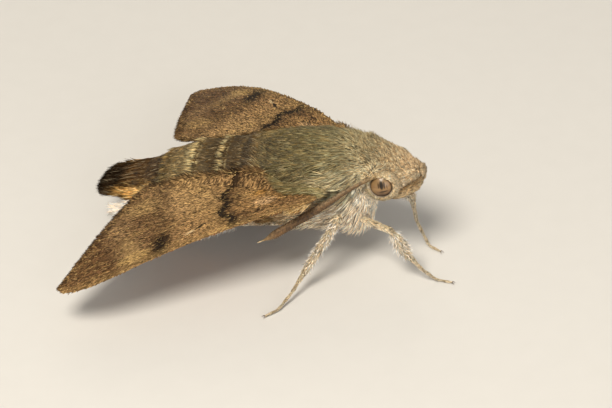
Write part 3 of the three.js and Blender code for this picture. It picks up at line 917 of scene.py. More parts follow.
def hair_material(name, colour_in, dark=0.3, light=1.85, sheen=0.04, gloss=0.2):
    """Moth hair: long flat scales of chitin with fine ridges, dull with a faint silky sheen.

    Each tuft has its own depth of colour, painted darker towards the skin as shade deep in the coat, and
    bleached at its tip.
    colour_in is a node group, or the ramp stops of a hair with no markings.
    """
    material, add = new_material(name)
    root = add("Attribute", attribute_name="root").outputs["Vector"]
    tint = add("Attribute", attribute_name="tint").outputs["Fac"]
    tip = add("Attribute", attribute_name="tip").outputs["Fac"]
    # Locks 0.15 mm wide and 1 mm long share a tone.
    where = add("Mapping", {"Vector": root, "Scale": (6.5, 1.0, 6.5)})
    lock = add("TexNoise", {"Vector": where, "Scale": 1.0})
    if isinstance(colour_in, list):
        colour = add("ValToRGB", [lock], colour_in)
    else:
        colour = add("Group", node_tree=colour_in)
    depth = add("MapRange", [tint, -2.0, 2.0, dark, light])
    # Painted shade: each tuft darkens towards its root, and each lock has its own tone.
    for level in (add("MapRange", [tip, 0.0, 1.0, 0.5, 1.4]), add("MapRange", [lock, 0.3, 0.7, 0.74, 1.24])):
        depth = add("Math", [depth, level], **TIMES)
    # Some tufts are browner and some greyer than their neighbours.
    own = add("Math", [add("Math", [tint, 7.3], **TIMES)], operation="FRACT")
    hue = add("Mix", [own, (1.14, 0.97, 0.8, 1.0), (0.88, 1.0, 1.12, 1.0)], **COLOURS)
    shaded = add("VectorMath", [colour, depth], **TIMES)
    shaded = add("VectorMath", [shaded, hue], **TIMES)
    # Bleached tufts turn towards straw at their tips, one tuft in about five.
    straw = add("Math", [add("MapRange", [tint, 0.7, 2.0, 0.0, 0.55]), tip], **TIMES)
    shader = add("BsdfPrincipled", {
        "Base Color": add("Mix", [straw, shaded, "#d5c9aa"], **COLOURS), "Roughness": 0.65,
        "Sheen Weight": sheen, "Specular IOR Level": gloss, "Specular Tint": WARM_GLOSS})
    add("OutputMaterial", [shader])
    return material


def skin_material(group):
    """Cuticle under the coat: thin chitin with a flat down 0.12 mm wide that takes the coat's markings,
    darkened as painted shade between the tufts.
    """
    material, add = new_material("chitin cuticle with flat down")
    root = add("Attribute", attribute_name="root").outputs["Vector"]
    # Stretched along the body: 8 hairs to the millimetre across, 1.2 mm long.
    where = add("Mapping", {"Vector": root, "Scale": (8.0, 0.9, 8.0)})
    down = add("TexNoise", {"Vector": where, "Scale": 1.0, "Detail": 4.0, "Roughness": 0.6})
    # The coat's colour at 0.45 to 0.85 of its brightness: painted shade in the gaps between tufts.
    shade = add("MapRange", [down, 0.3, 0.7, 0.45, 0.85])
    shader = add("BsdfPrincipled", {
        "Base Color": add("VectorMath", [add("Group", node_tree=group), shade], **TIMES),
        "Roughness": add("MapRange", [down, 0.2, 0.8, 0.6, 0.8]),
        "Normal": add("Bump", {"Height": down, "Strength": 0.6, "Distance": 0.06 * MM}),
        "Specular IOR Level": 0.3})
    add("OutputMaterial", [shader])
    return material


# Patches of the forewing: middle and half size in span and chord, strength, colour. In turn: a smudge,
# a dusty patch, the painted shadow of the pad of the shoulder and the golden patch beside that pad, the
# dark hinge, the pale front edge outside the cloudy band, and the pale rear of the band.
WING_PATCHES = (
    ((5.7, -0.6), (0.55, 0.32), 0.6, "#33241a"),
    ((5.0, 0.4), (1.0, 0.55), 0.4, "#b59a79"),
    # Painted shadow of the pad of the shoulder on the wing:
    ((3.9, 2.2), (1.5, 1.3), 0.6, "#46331f"),
    ((5.0, 1.7), (0.6, 0.35), 0.35, "#a5762f"),
    ((2.6, -0.6), (1.2, 0.9), 0.4, "#6d5238"),
    ((15.9, -0.8), (1.5, 0.7), 0.55, "#b2955f"),
    ((13.6, 5.2), (1.6, 1.2), 0.4, "#a58a5c"),
)


def wing_markings():
    """Node group: the forewing's pattern at a root, from span, chord and side of the film."""
    group, add = new_group("forewing markings")
    wing = add("Attribute", attribute_name="wing").outputs["Vector"]
    edge = add("Attribute", attribute_name="edge").outputs["Vector"]
    span, chord, under = add("SeparateXYZ", [wing]).outputs
    from_lead, from_trail, _ = add("SeparateXYZ", [edge]).outputs
    flat = add("CombineXYZ", [span, chord, 0.0])
    # Scales in clumps 0.25 mm across, and streaks 0.5 mm wide and 3 mm long that run along the wing.
    clumps = add("TexNoise", {"Vector": flat, "Scale": 4.0, "Detail": 3.0, "Roughness": 0.7})
    long_way = add("Mapping", {"Vector": flat, "Rotation": (0, 0, -0.12), "Scale": (0.34, 1.9, 1.0)})
    streaks = add("TexNoise", {"Vector": long_way, "Scale": 1.0, "Detail": 3.0})
    clouds = add("TexNoise", {"Vector": flat, "Scale": 0.42})
    ragged = add("MapRange", [clumps, 0.25, 0.75, -0.32, 0.32])
    # Single scales stand out as light or dark specks 0.12 mm wide and 0.28 mm long.
    lengthwise = add("Mapping", {"Vector": flat, "Scale": (3.6, 8.4, 1.0)})
    grain = add("TexNoise", {"Vector": lengthwise, "Scale": 1.0, "Detail": 1.0})

    # The line across the wing a third of the way out bulges outwards and has three teeth.
    bulge = add("Math", [add("Math", [chord, chord], **TIMES), -0.115], **TIMES)
    teeth = add("Math", [add("Math", [chord, 2.7], **TIMES)], operation="SINE")
    teeth = add("Math", [teeth, 0.3], **TIMES)
    line_at = add("Math", [add("Math", [bulge, teeth], **PLUS), 8.25], **PLUS)
    past_line = add("Math", [add("Math", [span, line_at], operation="SUBTRACT"), ragged], **PLUS)
    from_line = add("Math", [past_line], operation="ABSOLUTE")
    inside = add("MapRange", [past_line, -2.6, -0.1], **SOFT)
    inside = add("Math", [inside, add("MapRange", [past_line, 0.2, 0.0], **SOFT)], **TIMES)
    inside = add("Math", [inside, add("MapRange", [clumps, 0.3, 0.6, 0.45, 0.9], **SOFT)], **TIMES)

    # The cloudy outer band leans from the front edge towards the rear corner.
    band_at = add("Math", [add("Math", [chord, -0.3], **TIMES), 13.55], **PLUS)
    from_band = add("Math", [add("Math", [span, band_at], operation="SUBTRACT"), ragged], **PLUS)
    from_band = add("Math", [from_band], operation="ABSOLUTE")
    at_front = add("Math", [add("Math", [chord, 0.7], **PLUS)], operation="ABSOLUTE")
    at_front = add("MapRange", [at_front, 1.7, 0.5], **SOFT)
    band = add("MapRange", [at_front, 0.0, 1.0, 0.36, 0.95], **SOFT)
    band = add("Math", [add("MapRange", [from_band, 1.3, 0.1], **SOFT), band], **TIMES)
    front_spot = add("MapRange", [from_band, 0.75, 0.25], **SOFT)
    front_spot = add("Math", [front_spot, at_front], **TIMES)

    # Colours from hinge to tip.
    colour = add("ValToRGB", [add("MapRange", [span, 0.0, FOREWING_LENGTH])], [
        (0.0, "#7c6039"), (0.2, "#8b6c44"), (0.36, "#826542"), (0.39, "#93764d"), (0.5, "#8b6e4a"),
        (0.58, "#7c6141"), (0.64, "#654c32"), (0.73, "#775f43"), (0.81, "#543c26"), (1.0, "#6e5235")])
    colour = laid_over(add, colour, (clouds, 0.42, 0.66, 0.5, "#553f26"),
                       (streaks, 0.5, 0.68, 0.4, "#48331f"), (streaks, 0.46, 0.3, 0.35, "#ad8e5b"))
    # The rear half is paler as far as the cloudy band, and the front edge darker near the hinge.
    pale_rear = add("Math", [add("MapRange", [chord, 0.6, 3.6], **SOFT),
                             add("MapRange", [span, 13.0, 10.5, 0.0, 0.17], **SOFT)], **TIMES)
    dark_front = add("Math", [add("MapRange", [from_lead, 2.2, 0.3], **SOFT),
                              add("MapRange", [span, 8.5, 6.0, 0.0, 0.5], **SOFT)], **TIMES)
    for share, tone in ((pale_rear, "#b4996e"), (dark_front, "#5d442d")):
        colour = add("Mix", [share, colour, tone], **COLOURS)
    for middle, reach, strength, tone in WING_PATCHES:
        patch = add("Math", [in_oval(add, span, chord, middle, reach), ragged], **PLUS)
        colour = laid_over(add, colour, (patch, 1.4, 0.2, strength, tone))
    for share, tone in ((inside, "#3f2c1b"), (band, "#342315"), (front_spot, "#180f08")):
        colour = add("Mix", [share, colour, tone], **COLOURS)
    specks = add("MapRange", [grain, 0.34, 0.66, 0.2, 1.95], **SOFT)
    colour = add("VectorMath", [colour, specks], **TIMES)
    # The line itself, a pale patch under the tip, then a dark shade along the outer margin.
    near_tip = add("Math", [in_oval(add, span, chord, (15.9, 0.3), (0.8, 2.0)), ragged], **PLUS)
    colour = laid_over(add, colour, (from_line, 0.5, 0.2, 1.0, "#120a05"),
                       (near_tip, 1.3, 0.1, 0.45, "#9f8457"), (from_trail, 1.5, 0.1, 0.3, "#4d3824"))
    # Dark dash in the cell, with a pale dash at its outer end.
    lean = add("Math", [add("Math", [span, 10.6], operation="SUBTRACT"), 0.33], **TIMES)
    beside_dash = add("Math", [add("Math", [chord, 0.3], **PLUS), lean], **PLUS)
    for middle, reach, tone in ((10.35, 0.55, "#20160e"), (11.25, 0.4, "#c6af88")):
        dash = in_oval(add, span, beside_dash, (middle, 0.0), (reach, 0.13))
        colour = laid_over(add, colour, (dash, 1.5, 0.5, 1.0, tone))
    # Pale dusting along the front edge and a thin ochre rib at the very edge.
    colour = laid_over(add, colour, (from_lead, 1.1, 0.15, 0.35, "#a28557"),
                       (from_lead, 0.14, 0.05, 0.8, "#907550"))
    # Underneath: orange-brown, greyer towards the margins.
    beneath = add("Mix", [add("MapRange", [span, 9.0, 17.0], **SOFT), "#a16337", "#876748"], **COLOURS)
    beneath = laid_over(add, beneath, (streaks, 0.4, 0.7, 0.35, "#6a4729"))
    return end_group(group, add("Mix", [under, colour, beneath], **COLOURS))


def wing_film_material(group):
    """Wing film with its ground layer of scales: matt, with rows of scales 0.09 mm apart."""
    material, add = new_material("scaled wing film")
    wing = add("Attribute", attribute_name="wing").outputs["Vector"]
    relief, speck = scale_rows(add, wing, 11.0, 0.62, 1.2)
    shader = add("BsdfPrincipled", {
        "Base Color": add("VectorMath", [add("Group", node_tree=group), speck], **TIMES),
        "Roughness": add("MapRange", [speck, 0.6, 1.2, 0.72, 0.5]),
        "Normal": add("Bump", {"Height": relief, "Strength": 0.5, "Distance": 0.03 * MM}),
        "Specular IOR Level": 0.25, "Specular Tint": WARM_GLOSS})
    add("OutputMaterial", [shader])
    return material


def wing_scale_material(group):
    """Loose top scales of the wing: ridged chitin plates, each a little lighter or darker, some golden."""
    material, add = new_material("ridged wing scales")
    tint = add("Attribute", attribute_name="tint").outputs["Fac"]
    tip = add("Attribute", attribute_name="tip").outputs["Fac"]
    level = add("Math", [add("MapRange", [tint, -2.0, 2.0, 0.08, 2.0]),
                         add("MapRange", [tip, 0.0, 1.0, 0.85, 1.12])], **TIMES)
    shaded = add("VectorMath", [add("Group", node_tree=group), level], **TIMES)
    golden = add("MapRange", [tint, 0.8, 2.0, 0.0, 0.75])
    shader = add("BsdfPrincipled", {
        "Base Color": add("Mix", [golden, shaded, "#cdb077"], **COLOURS), "Roughness": 0.55,
        "Specular IOR Level": 0.25, "Specular Tint": WARM_GLOSS})
    add("OutputMaterial", [shader])
    return material


def hindwing_material():
    """Hindwing film: orange-brown scales, brown at the base and along the outer margin."""
    material, add = new_material("orange hindwing film")
    wing = add("Attribute", attribute_name="wing").outputs["Vector"]
    edge = add("Attribute", attribute_name="edge").outputs["Vector"]
    span = add("SeparateXYZ", [wing]).outputs[0]
    from_trail = add("SeparateXYZ", [edge]).outputs[1]
    relief, speck = scale_rows(add, wing, 10.0, 0.75, 1.15)
    colour = add("ValToRGB", [add("MapRange", [span, HINDWING_FROM, HINDWING_TO])], [
        (0.0, "#6b4a2c"), (0.3, "#b3692c"), (0.7, "#bf7733"), (1.0, "#94602f")])
    colour = laid_over(add, colour, (from_trail, 1.6, 0.2, 0.8, "#6e4a2b"))
    shader = add("BsdfPrincipled", {
        "Base Color": add("VectorMath", [colour, speck], **TIMES), "Roughness": 0.6,
        "Normal": add("Bump", {"Height": relief, "Strength": 0.4, "Distance": 0.03 * MM}),
        "Specular IOR Level": 0.35})
    add("OutputMaterial", [shader])
    return material


# False pupils: an upright dark streak, two smaller ones beside it, a faint one, and a low dark bar.
# Each one's middle and half size as ways out of the eye, its strength and its colour.
FALSE_PUPILS = (
    ((0.93, -0.2, 0.3), (0.7, 0.13, 0.3), 0.96, "#171009"),
    ((0.95, -0.01, 0.3), (0.7, 0.045, 0.2), 0.85, "#21140a"),
    ((0.89, -0.38, 0.26), (0.7, 0.05, 0.24), 0.9, "#21140a"),
    ((0.84, -0.52, 0.12), (0.7, 0.03, 0.16), 0.7, "#3b2817"),
    ((0.95, -0.25, -0.16), (0.7, 0.28, 0.06), 0.85, "#1b1008"),
)


def eye_material():
    """Compound eye: clear lenses over pigment, so it shines and shows dark spots deep inside.

    The spots are the false pupils; they stay where they are in the pigment of each eye.
    """
    material, add = new_material("lens facets over hazel pigment")
    way = add("Attribute", attribute_name="gaze").outputs["Vector"]
    height = add("SeparateXYZ", [way]).outputs[2]
    clouded = add("MapRange", [add("TexNoise", {"Vector": way, "Scale": 2.4}), 0.3, 0.7, -0.12, 0.12])
    level = add("Math", [clouded, height], **PLUS)
    # Hazel pigment, darkening towards the bottom of the eye as painted shade.
    colour = add("ValToRGB", [add("MapRange", [level, -1.0, 1.0])], [
        (0.0, "#24160c"), (0.2, "#2c1b0f"), (0.3, "#4d351d"), (0.4, "#725638"), (0.5, "#8a6d48"),
        (0.6, "#7a5d3c"), (0.72, "#7d6342"), (1.0, "#6a5335")])
    for middle, reach, strength, tone in FALSE_PUPILS:
        offset = add("VectorMath", [way, middle], operation="SUBTRACT")
        scaled = add("VectorMath", [offset, reach], operation="DIVIDE")
        distance = add("VectorMath", [scaled], operation="LENGTH").outputs["Value"]
        colour = laid_over(add, colour, (distance, 1.35, 0.6, strength, tone))
    # Painted shade where the eye meets its rim and sinks under it.
    facing = add("VectorMath", [way, tuple(EYE_AXIS)], operation="DOT_PRODUCT").outputs["Value"]
    colour = laid_over(add, colour, (facing, 0.82, 0.72, 0.8, "#24160c"))
    # Facets are 0.02 mm wide; drawn at 0.05 mm so that they show.
    facets = add("TexVoronoi", {"Vector": way, "Scale": 24.0, "Randomness": 0.35}, feature="DISTANCE_TO_EDGE")
    bump = add("Bump", {"Height": facets.outputs["Distance"], "Strength": 0.12, "Distance": 0.02 * MM})
    shader = add("BsdfPrincipled", {
        "Base Color": colour, "Roughness": 0.34, "Normal": bump, "Coat Weight": 0.25, "Coat Roughness": 0.16,
        "Specular IOR Level": 0.35})
    add("OutputMaterial", [shader])
    return material


def antenna_material():
    """Feeler: scaled above in grey-brown, bare and ringed beneath, pale at the hooked tip."""
    material, add = new_material("ringed feeler scales")
    feel = add("Attribute", attribute_name="feel").outputs["Vector"]
    root = add("Attribute", attribute_name="root").outputs["Vector"]
    along, up, _ = add("SeparateXYZ", [feel]).outputs
    grain = add("TexNoise", {"Vector": root, "Scale": 5.0, "Detail": 3.0})
    colour = add("ValToRGB", [along], [
        (0.0, "#8f7852"), (0.12, "#664e31"), (0.6, "#5a4228"), (0.85, "#6a4f31"), (0.95, "#957a54"),
        (1.0, "#e0cfa8")])
    colour = add("Mix", [add("MapRange", [up, 0.5, 0.95, 0.0, 0.5]), colour, "#a8977a"], **COLOURS)
    # Each ring is a dark groove and a lighter scaled band.
    turns = add("Math", [along, FEELER_RINGS * 2 * math.pi], **TIMES)
    level = add("MapRange", [add("Math", [turns], operation="SINE"), -1.0, 1.0, 0.4, 1.2])
    level = add("Math", [level, add("MapRange", [grain, 0.34, 0.66, 0.5, 1.5])], **TIMES)
    shader = add("BsdfPrincipled", {
        "Base Color": add("VectorMath", [colour, level], **TIMES), "Roughness": 0.55,
        "Normal": add("Bump", {"Height": grain, "Strength": 0.4, "Distance": 0.03 * MM}),
        "Specular IOR Level": 0.4})
    add("OutputMaterial", [shader])
    return material


def claw_material():
    """Claws and spurs: bare hard chitin, dark brown and shiny, amber where it thins to the point."""
    material, add = new_material("bare claw chitin")
    tip = add("Attribute", attribute_name="tip").outputs["Fac"]
    root = add("Attribute", attribute_name="root").outputs["Vector"]
    grain = add("TexNoise", {"Vector": root, "Scale": 14.0})
    shader = add("BsdfPrincipled", {
        "Base Color": add("ValToRGB", [tip], [(0.0, "#3a2616"), (0.7, "#4a2d17"), (1.0, "#7d4f25")]),
        "Roughness": add("MapRange", [grain, 0.3, 0.7, 0.25, 0.4])})
    add("OutputMaterial", [shader])
    return material


def floor_material(colour):
    """Matt painted board: a faint grain of the roller 2 mm across."""
    material, add = new_material("matt painted board")
    grain = add("TexNoise", {"Vector": add("TexCoord").outputs["Object"], "Scale": 500.0})
    faint = add("MapRange", [grain, 0.3, 0.7, 0.0, 0.12])
    shader = add("BsdfPrincipled", {
        "Base Color": add("Mix", [faint, colour, "#c4c5c6"], **COLOURS), "Roughness": 0.85,
        "Specular IOR Level": 0.2})
    add("OutputMaterial", [shader])
    return material


# ---- settings

def length_setting(name, description, millimetres):
    """A length given here in millimetres and held in metres."""
    return bpy.props.FloatProperty(
        name=name, description=description, default=millimetres * MM, subtype="DISTANCE", precision=6)


class HawkMothSizes(bpy.types.PropertyGroup):
    """Sizes of the coat and the fineness of the meshes."""

    head_hair: length_setting("Head hair", "Length of the hair on the head", 0.52)
    thorax_hair: length_setting("Thorax hair", "Length of the hair on the thorax", 1.15)
    abdomen_hair: length_setting("Abdomen hair", "Length of the hair on the abdomen", 0.85)
    tail_hair: length_setting("Tail hair", "Length of the hair of the tail brush", 2.3)
    hair_width: length_setting("Hair width", "Width of one tuft of body hair", 0.085)
    wing_scale: length_setting("Wing scale", "Length of one loose wing scale", 0.32)
    skin_voxel: length_setting("Skin fineness", "Size of the cells that the skin is joined from", 0.11)
    coat_density: bpy.props.FloatProperty(
        name="Coat density", description="Share of the full number of tufts", default=1.0, min=0.05, max=1.0,
        subtype="FACTOR")


class HawkMothStage(bpy.types.PropertyGroup):
    """Floor, light and camera."""

    floor_colour: bpy.props.FloatVectorProperty(
        name="Floor colour", description="Colour of the plain floor", size=4, subtype="COLOR",
        default=linear("#cfd0d1"), min=0, max=1)
    floor_size: bpy.props.FloatProperty(
        name="Floor size", description="Side of the floor", default=2.4, subtype="DISTANCE")
    azimuth: bpy.props.FloatProperty(
        name="Azimuth", description="Way round the moth from which the camera looks",
        default=math.radians(-72.6), subtype="ANGLE")
    elevation: bpy.props.FloatProperty(
        name="Elevation", description="Height of the camera above the horizon",
        default=math.radians(32.46), subtype="ANGLE")
    roll: bpy.props.FloatProperty(
        name="Roll", description="Tilt of the camera about its own axis",
        default=math.radians(-2.23), subtype="ANGLE")
    distance: bpy.props.FloatProperty(
        name="Distance", description="From the camera to the moth", default=0.22, subtype="DISTANCE")
    lens: bpy.props.FloatProperty(
        name="Lens", description="Focal length for a sensor 36 mm wide", default=165.3)
    key_power: bpy.props.FloatProperty(
        name="Key light", description="Power of the main soft light", default=1.9, unit="POWER")
    fill_power: bpy.props.FloatProperty(
        name="Fill light", description="Power of the light from the camera's side", default=0.8, unit="POWER")
    sky: bpy.props.FloatProperty(
        name="Surroundings", description="Strength of the even light from all round", default=0.32)


def tufts_of(part):
    return int(TUFT_COUNTS[part] * bpy.context.scene.hawk_moth_sizes.coat_density)


# Node groups that several materials use are made once.
markings = functools.cache(coat_markings)
wing_pattern = functools.cache(wing_markings)


# ---- operators

class BuildSkin(bpy.types.Operator):
    """One skin over head, palps, thorax, abdomen, tail and legs, inside the coat"""

    bl_idname = "hawk_moth.skin"
    bl_label = "Build Skin"

    def execute(self, context):
        place = np.arange(NOSE, SKIN_END, 0.12)
        turn = np.linspace(0, 2 * math.pi, 96, endpoint=False)
        grid_place, grid_turn = np.meshgrid(place, turn, indexing="ij")
        parts = [closed_loft(skin_points(grid_place, grid_turn))]
        limbs = [(ON_LEG, leg_tube(name)) for name in LEGS]
        limbs += [(ON_PALP, palp_tube(side)) for side in (1, -1)]
        limbs += [(ON_TUFT, tail_tuft_tube(side)) for side in (1, -1)]
        parts += [tube_loft(shape) for _, shape in limbs]
        for side in (1, -1):
            for spread in (0.02, 0.1, 0.18, 0.26, 0.34):
                parts.append(rim_loft(side, spread, 0.07 + 0.12 * spread))
        points, faces = joined(parts)
        # The cells are joined in millimetres, because they are too fine for metres.
        rough = new_piece("skin_parts", points / MM, faces, None)
        remesh = rough.modifiers.new("join", "REMESH")
        remesh.mode = "VOXEL"
        remesh.voxel_size = context.scene.hawk_moth_sizes.skin_voxel / MM
        smooth = rough.modifiers.new("smooth", "SMOOTH")
        smooth.factor = 0.5
        smooth.iterations = 4
        evaluated = rough.evaluated_get(context.evaluated_depsgraph_get())
        mesh = bpy.data.meshes.new_from_object(evaluated)
        bpy.data.objects.remove(rough)
        points = np.empty(len(mesh.vertices) * 3, np.float32)
        mesh.vertices.foreach_get("co", points)
        points = points.reshape(-1, 3)
        quads = np.empty(len(mesh.loops), np.int32)
        mesh.loops.foreach_get("vertex_index", quads)
        quads = quads.reshape(-1, 4)
        skin = new_piece("skin", points, [quads], skin_material(markings()),
                         vectors={"place": self.places_of(points, limbs), "root": points})
        settle(skin, FLESH)
        return {"FINISHED"}

    def places_of(self, points, limbs):
        """Each point's place in the markings: on the nearest limb, or else on the trunk."""
        x, y, z = moth_to_body(points - OFFSET).T
        half_width, top, bottom = outline_at(y)
        height = (z - (top + bottom) / 2) / ((top - bottom) / 2)
        place = triples(np.clip(y, NOSE, TAIL_TIP), np.clip(height, -1, 1), ON_TRUNK)
        depth = np.sqrt((x / half_width) ** 2 + height**2)
        off_trunk = (depth > 0.97) | (y < NOSE) | (y > SKIN_END + 0.1)
        for kind, shape in limbs:
            low, high = shape["path"].min(0) - 1, shape["path"].max(0) + 1
            near = np.nonzero(((points > low) & (points < high)).all(1))[0]
            gap = np.linalg.norm(points[near, None] - shape["path"][None], axis=2)
            closest = gap.argmin(1)
            hit = gap[np.arange(len(near)), closest] < shape["radius"][closest] + 0.14
            if kind != ON_PALP:
                hit &= off_trunk[near]
            chosen, spot = near[hit], closest[hit]
            out = unit(points[chosen] - shape["path"][spot])
            place[chosen] = triples(spot / (len(shape["path"]) - 1), out[:, 2], kind)
        return place


class BuildEyes(bpy.types.Operator):
    """The two large compound eyes, sunk in the head to their middles"""

    bl_idname = "hawk_moth.eyes"
    bl_label = "Build Eyes"

    def execute(self, context):
        material = eye_material()
        polar = np.linspace(0, math.pi, 49)[1:-1]
        turn = np.linspace(0, 2 * math.pi, 72, endpoint=False)
        grid_polar, grid_turn = np.meshgrid(polar, turn, indexing="ij")
        way = np.stack([np.cos(grid_polar), np.sin(grid_polar) * np.cos(grid_turn),
                        np.sin(grid_polar) * np.sin(grid_turn)], -1)
        radii = EYE_RADIUS * EYE_SHAPE
        for side, label in SIDES:
            rings = body_to_moth(across_sides(EYE_CENTRE + way * radii, side)) + OFFSET
            points, faces = closed_loft(rings)
            gaze = np.vstack([way.reshape(-1, 3), [[1, 0, 0], [-1, 0, 0]]])
            piece = new_piece(f"compound_eye_{label}", points, faces, material, vectors={"gaze": gaze})
            settle(piece, [f"eye_{label}"])
        return {"FINISHED"}


class BuildAntennae(bpy.types.Operator):
    """The two ringed feelers, thickening towards a fine hooked tip"""

    bl_idname = "hawk_moth.antennae"
    bl_label = "Build Antennae"

    def execute(self, context):
        material = antenna_material()
        per_ring = 6
        count = FEELER_RINGS * per_ring + 1
        along = np.linspace(0, 1, count)
        radius = 0.135 + 0.185 * smoothstep(along, 0.05, 0.6)
        radius *= 1 - 0.86 * smoothstep(along, 0.86, 0.985)
        radius *= 1 + 0.07 * np.sin(along * FEELER_RINGS * 2 * math.pi)
        radius[:per_ring] *= 1.35
        hook = smoothstep(along, 0.93, 1.0)[:, None]
        for side, label in SIDES:
            path = across_sides(smooth_path(ANTENNA_PATH, count), side)
            path = path + hook * np.array([side * 0.1, 0.1, -0.02]) + OFFSET
            points, faces = tube_loft(tube(path, radius), 16)
            spot = np.linalg.norm(points[:, None, :] - path[None, ::per_ring, :], axis=2).argmin(1) * per_ring
            out = unit(points - path[spot])
            feel = triples(spot / (count - 1), out[:, 2], 0.0)
            piece = new_piece(f"feeler_{label}", points, faces, material,
                              vectors={"feel": feel, "root": points})
            settle(piece, [f"antenna_{label}"])
        return {"FINISHED"}


class BuildWings(bpy.types.Operator):
    """Thin arched films of the forewings and hindwings"""

    bl_idname = "hawk_moth.wings"
    bl_label = "Build Wings"

    def execute(self, context):
        films = {"forewing": wing_film_material(wing_pattern()), "hindwing": hindwing_material()}
        for kind, outline in WINGS.items():
            for side, label in SIDES:
                piece = self.film(kind, outline, side, label, films[kind])
                settle(piece, [f"{kind}_{label}"])
        return {"FINISHED"}

    def film(self, kind, outline, side, label, material):
        spans, chords, half_thickness = 120, 46, 0.055
        ease = np.linspace(0, 1, spans)
        span = outline["from"] + (outline["to"] - outline["from"]) * np.sin(ease * math.pi / 2) ** 1.2
        share = (1 - np.cos(np.linspace(0, math.pi, chords))) / 2
        lead, trail = outline["lead"](span), outline["trail"](span)
        grid_span = np.repeat(span, chords)
        grid_chord = (lead[:, None] + (trail - lead)[:, None] * share).ravel()
        here, _, _, out = wing_frame(grid_span, grid_chord, side, outline["drop"])
        from_lead = grid_chord - np.repeat(lead, chords)
        from_trail = np.repeat(trail, chords) - grid_chord
        to_edge = np.minimum(np.minimum(from_lead, from_trail), outline["to"] - grid_span)
        thick = half_thickness * np.clip(to_edge / 0.4, 0.2, 1)
        points = np.vstack([here + out * thick[:, None], here - out * thick[:, None]])
        row, column = np.meshgrid(np.arange(spans - 1), np.arange(chords - 1), indexing="ij")
        a = (row * chords + column).ravel()
        top = np.stack([a, a + 1, a + chords + 1, a + chords], -1)
        below = spans * chords
        bottom = top[:, ::-1] + below
        rim = np.concatenate([
            np.arange(chords), np.arange(1, spans) * chords + chords - 1,
            (spans - 1) * chords + np.arange(chords - 2, -1, -1), np.arange(spans - 2, 0, -1) * chords])
        after = np.roll(rim, -1)
        wall = np.stack([after, rim, rim + below, after + below], -1)
        wing = triples(grid_span, grid_chord, 0.0)
        under = wing + [0, 0, 1]
        edge = triples(from_lead, from_trail, 0.0)
        return new_piece(f"{kind}_film_{label}", across_sides(points, side), [top, bottom, wall], material,
                         vectors={"wing": np.vstack([wing, under]), "edge": np.vstack([edge, edge])})


class GrowWingScales(bpy.types.Operator):
    """Loose scales over both faces of the forewings, and the fringe along their margins"""

    bl_idname = "hawk_moth.wing_scales"
    bl_label = "Grow Wing Scales"

    def execute(self, context):
        material = wing_scale_material(wing_pattern())
        length = context.scene.hawk_moth_sizes.wing_scale / MM
        rng = np.random.default_rng(SEED + 1)
        for side, label in SIDES:
            upper = self.scales(rng, side, tufts_of("scales above"), length, 0.0)
            lower = self.scales(rng, side, tufts_of("scales below"), length, 1.0)
            self.lay(f"forewing_scales_{label}", merged([upper, lower]), side, material, rng)
            fringe = self.fringe(rng, side, tufts_of("wing fringe"))
            self.lay(f"forewing_fringe_{label}", fringe, side, material, rng)
        return {"FINISHED"}

    def scales(self, rng, side, count, length, under):
        """Scales on one face of the film, pointing towards the outer margin."""
        width, lift = 0.15, 0.13
        tries = count * 3
        span = rng.uniform(1.35, 21.8, tries)
        chord = rng.uniform(-2.3, 8.4, tries)
        inside = (chord > forewing_lead(span) + 0.03) & (chord < forewing_trail(span) - 0.03)
        span, chord = span[inside][:count], chord[inside][:count]
        here, out_way, back_way, out = wing_frame(span, chord, side)
        face = -1.0 if under else 1.0
        fan = np.clip((chord - 1.0) * 0.09, -0.3, 0.5)[:, None]
        root = here + out * face * 0.05
        return self.pack_up(root, out_way + back_way * fan, out * face, length, width, lift, span, chord,
                            under)

    def fringe(self, rng, side, count):
        """Hair-like scales that stand past the margins: short outside, long and soft beside the body."""
        outer = int(count * 0.6)
        span = np.concatenate([rng.uniform(11.2, 21.9, outer), rng.uniform(3.4, 11.2, count - outer)])
        chord = forewing_trail(span) - rng.uniform(0.02, 0.3, count)
        here, out_way, back_way, out = wing_frame(span, chord, side)
        on_margin = smoothstep(span, 10.6, 12.4)
        lie = out_way * (0.75 - 0.1 * on_margin)[:, None] + back_way * 0.75
        to_tip = smoothstep(span, 15.0, 22.0)
        length = 0.75 - 0.15 * on_margin - 0.28 * to_tip
        width, lift = 0.1, 0.06
        root = here + out * rng.uniform(-0.04, 0.05, count)[:, None]
        return self.pack_up(root, lie, out, length, width, lift, span, chord, 0.0)

    def pack_up(self, root, lie, out, length, width, lift, span, chord, under):
        """These scales as a bundle, whose place also holds how far each is from both edges."""
        place = np.stack(np.broadcast_arrays(
            span, chord, under, chord - forewing_lead(span), forewing_trail(span) - chord), -1)
        uv = np.stack([0.01 + 0.98 * span / 22.2, 0.01 + 0.48 * (chord + 2.4) / 11.0 + 0.49 * under], -1)
        return bundle(root, lie, out, place, uv, length, width, lift, mess=0.22, flat=0.3)

    def lay(self, name, tufts, side, material, rng):
        """Grow one wing's scales, and write span, chord, side of the film and both edges at their points."""
        for key in ("root", "lie", "out"):
            tufts[key] = across_sides(tufts[key], side)
        places = tufts["place"]
        tufts["place"] = places[:, :3]
        piece = grow_tufts(name, material, tufts, rng)
        per_tuft = len(piece.data.vertices) // len(places)
        for label, values in (("wing", places[:, :3]), ("edge", triples(places[:, 3], places[:, 4], 0.0))):
            layer = piece.data.attributes.new(label, "FLOAT_VECTOR", "POINT")
            layer.data.foreach_set("vector", np.repeat(values, per_tuft, 0).astype(np.float32).ravel())


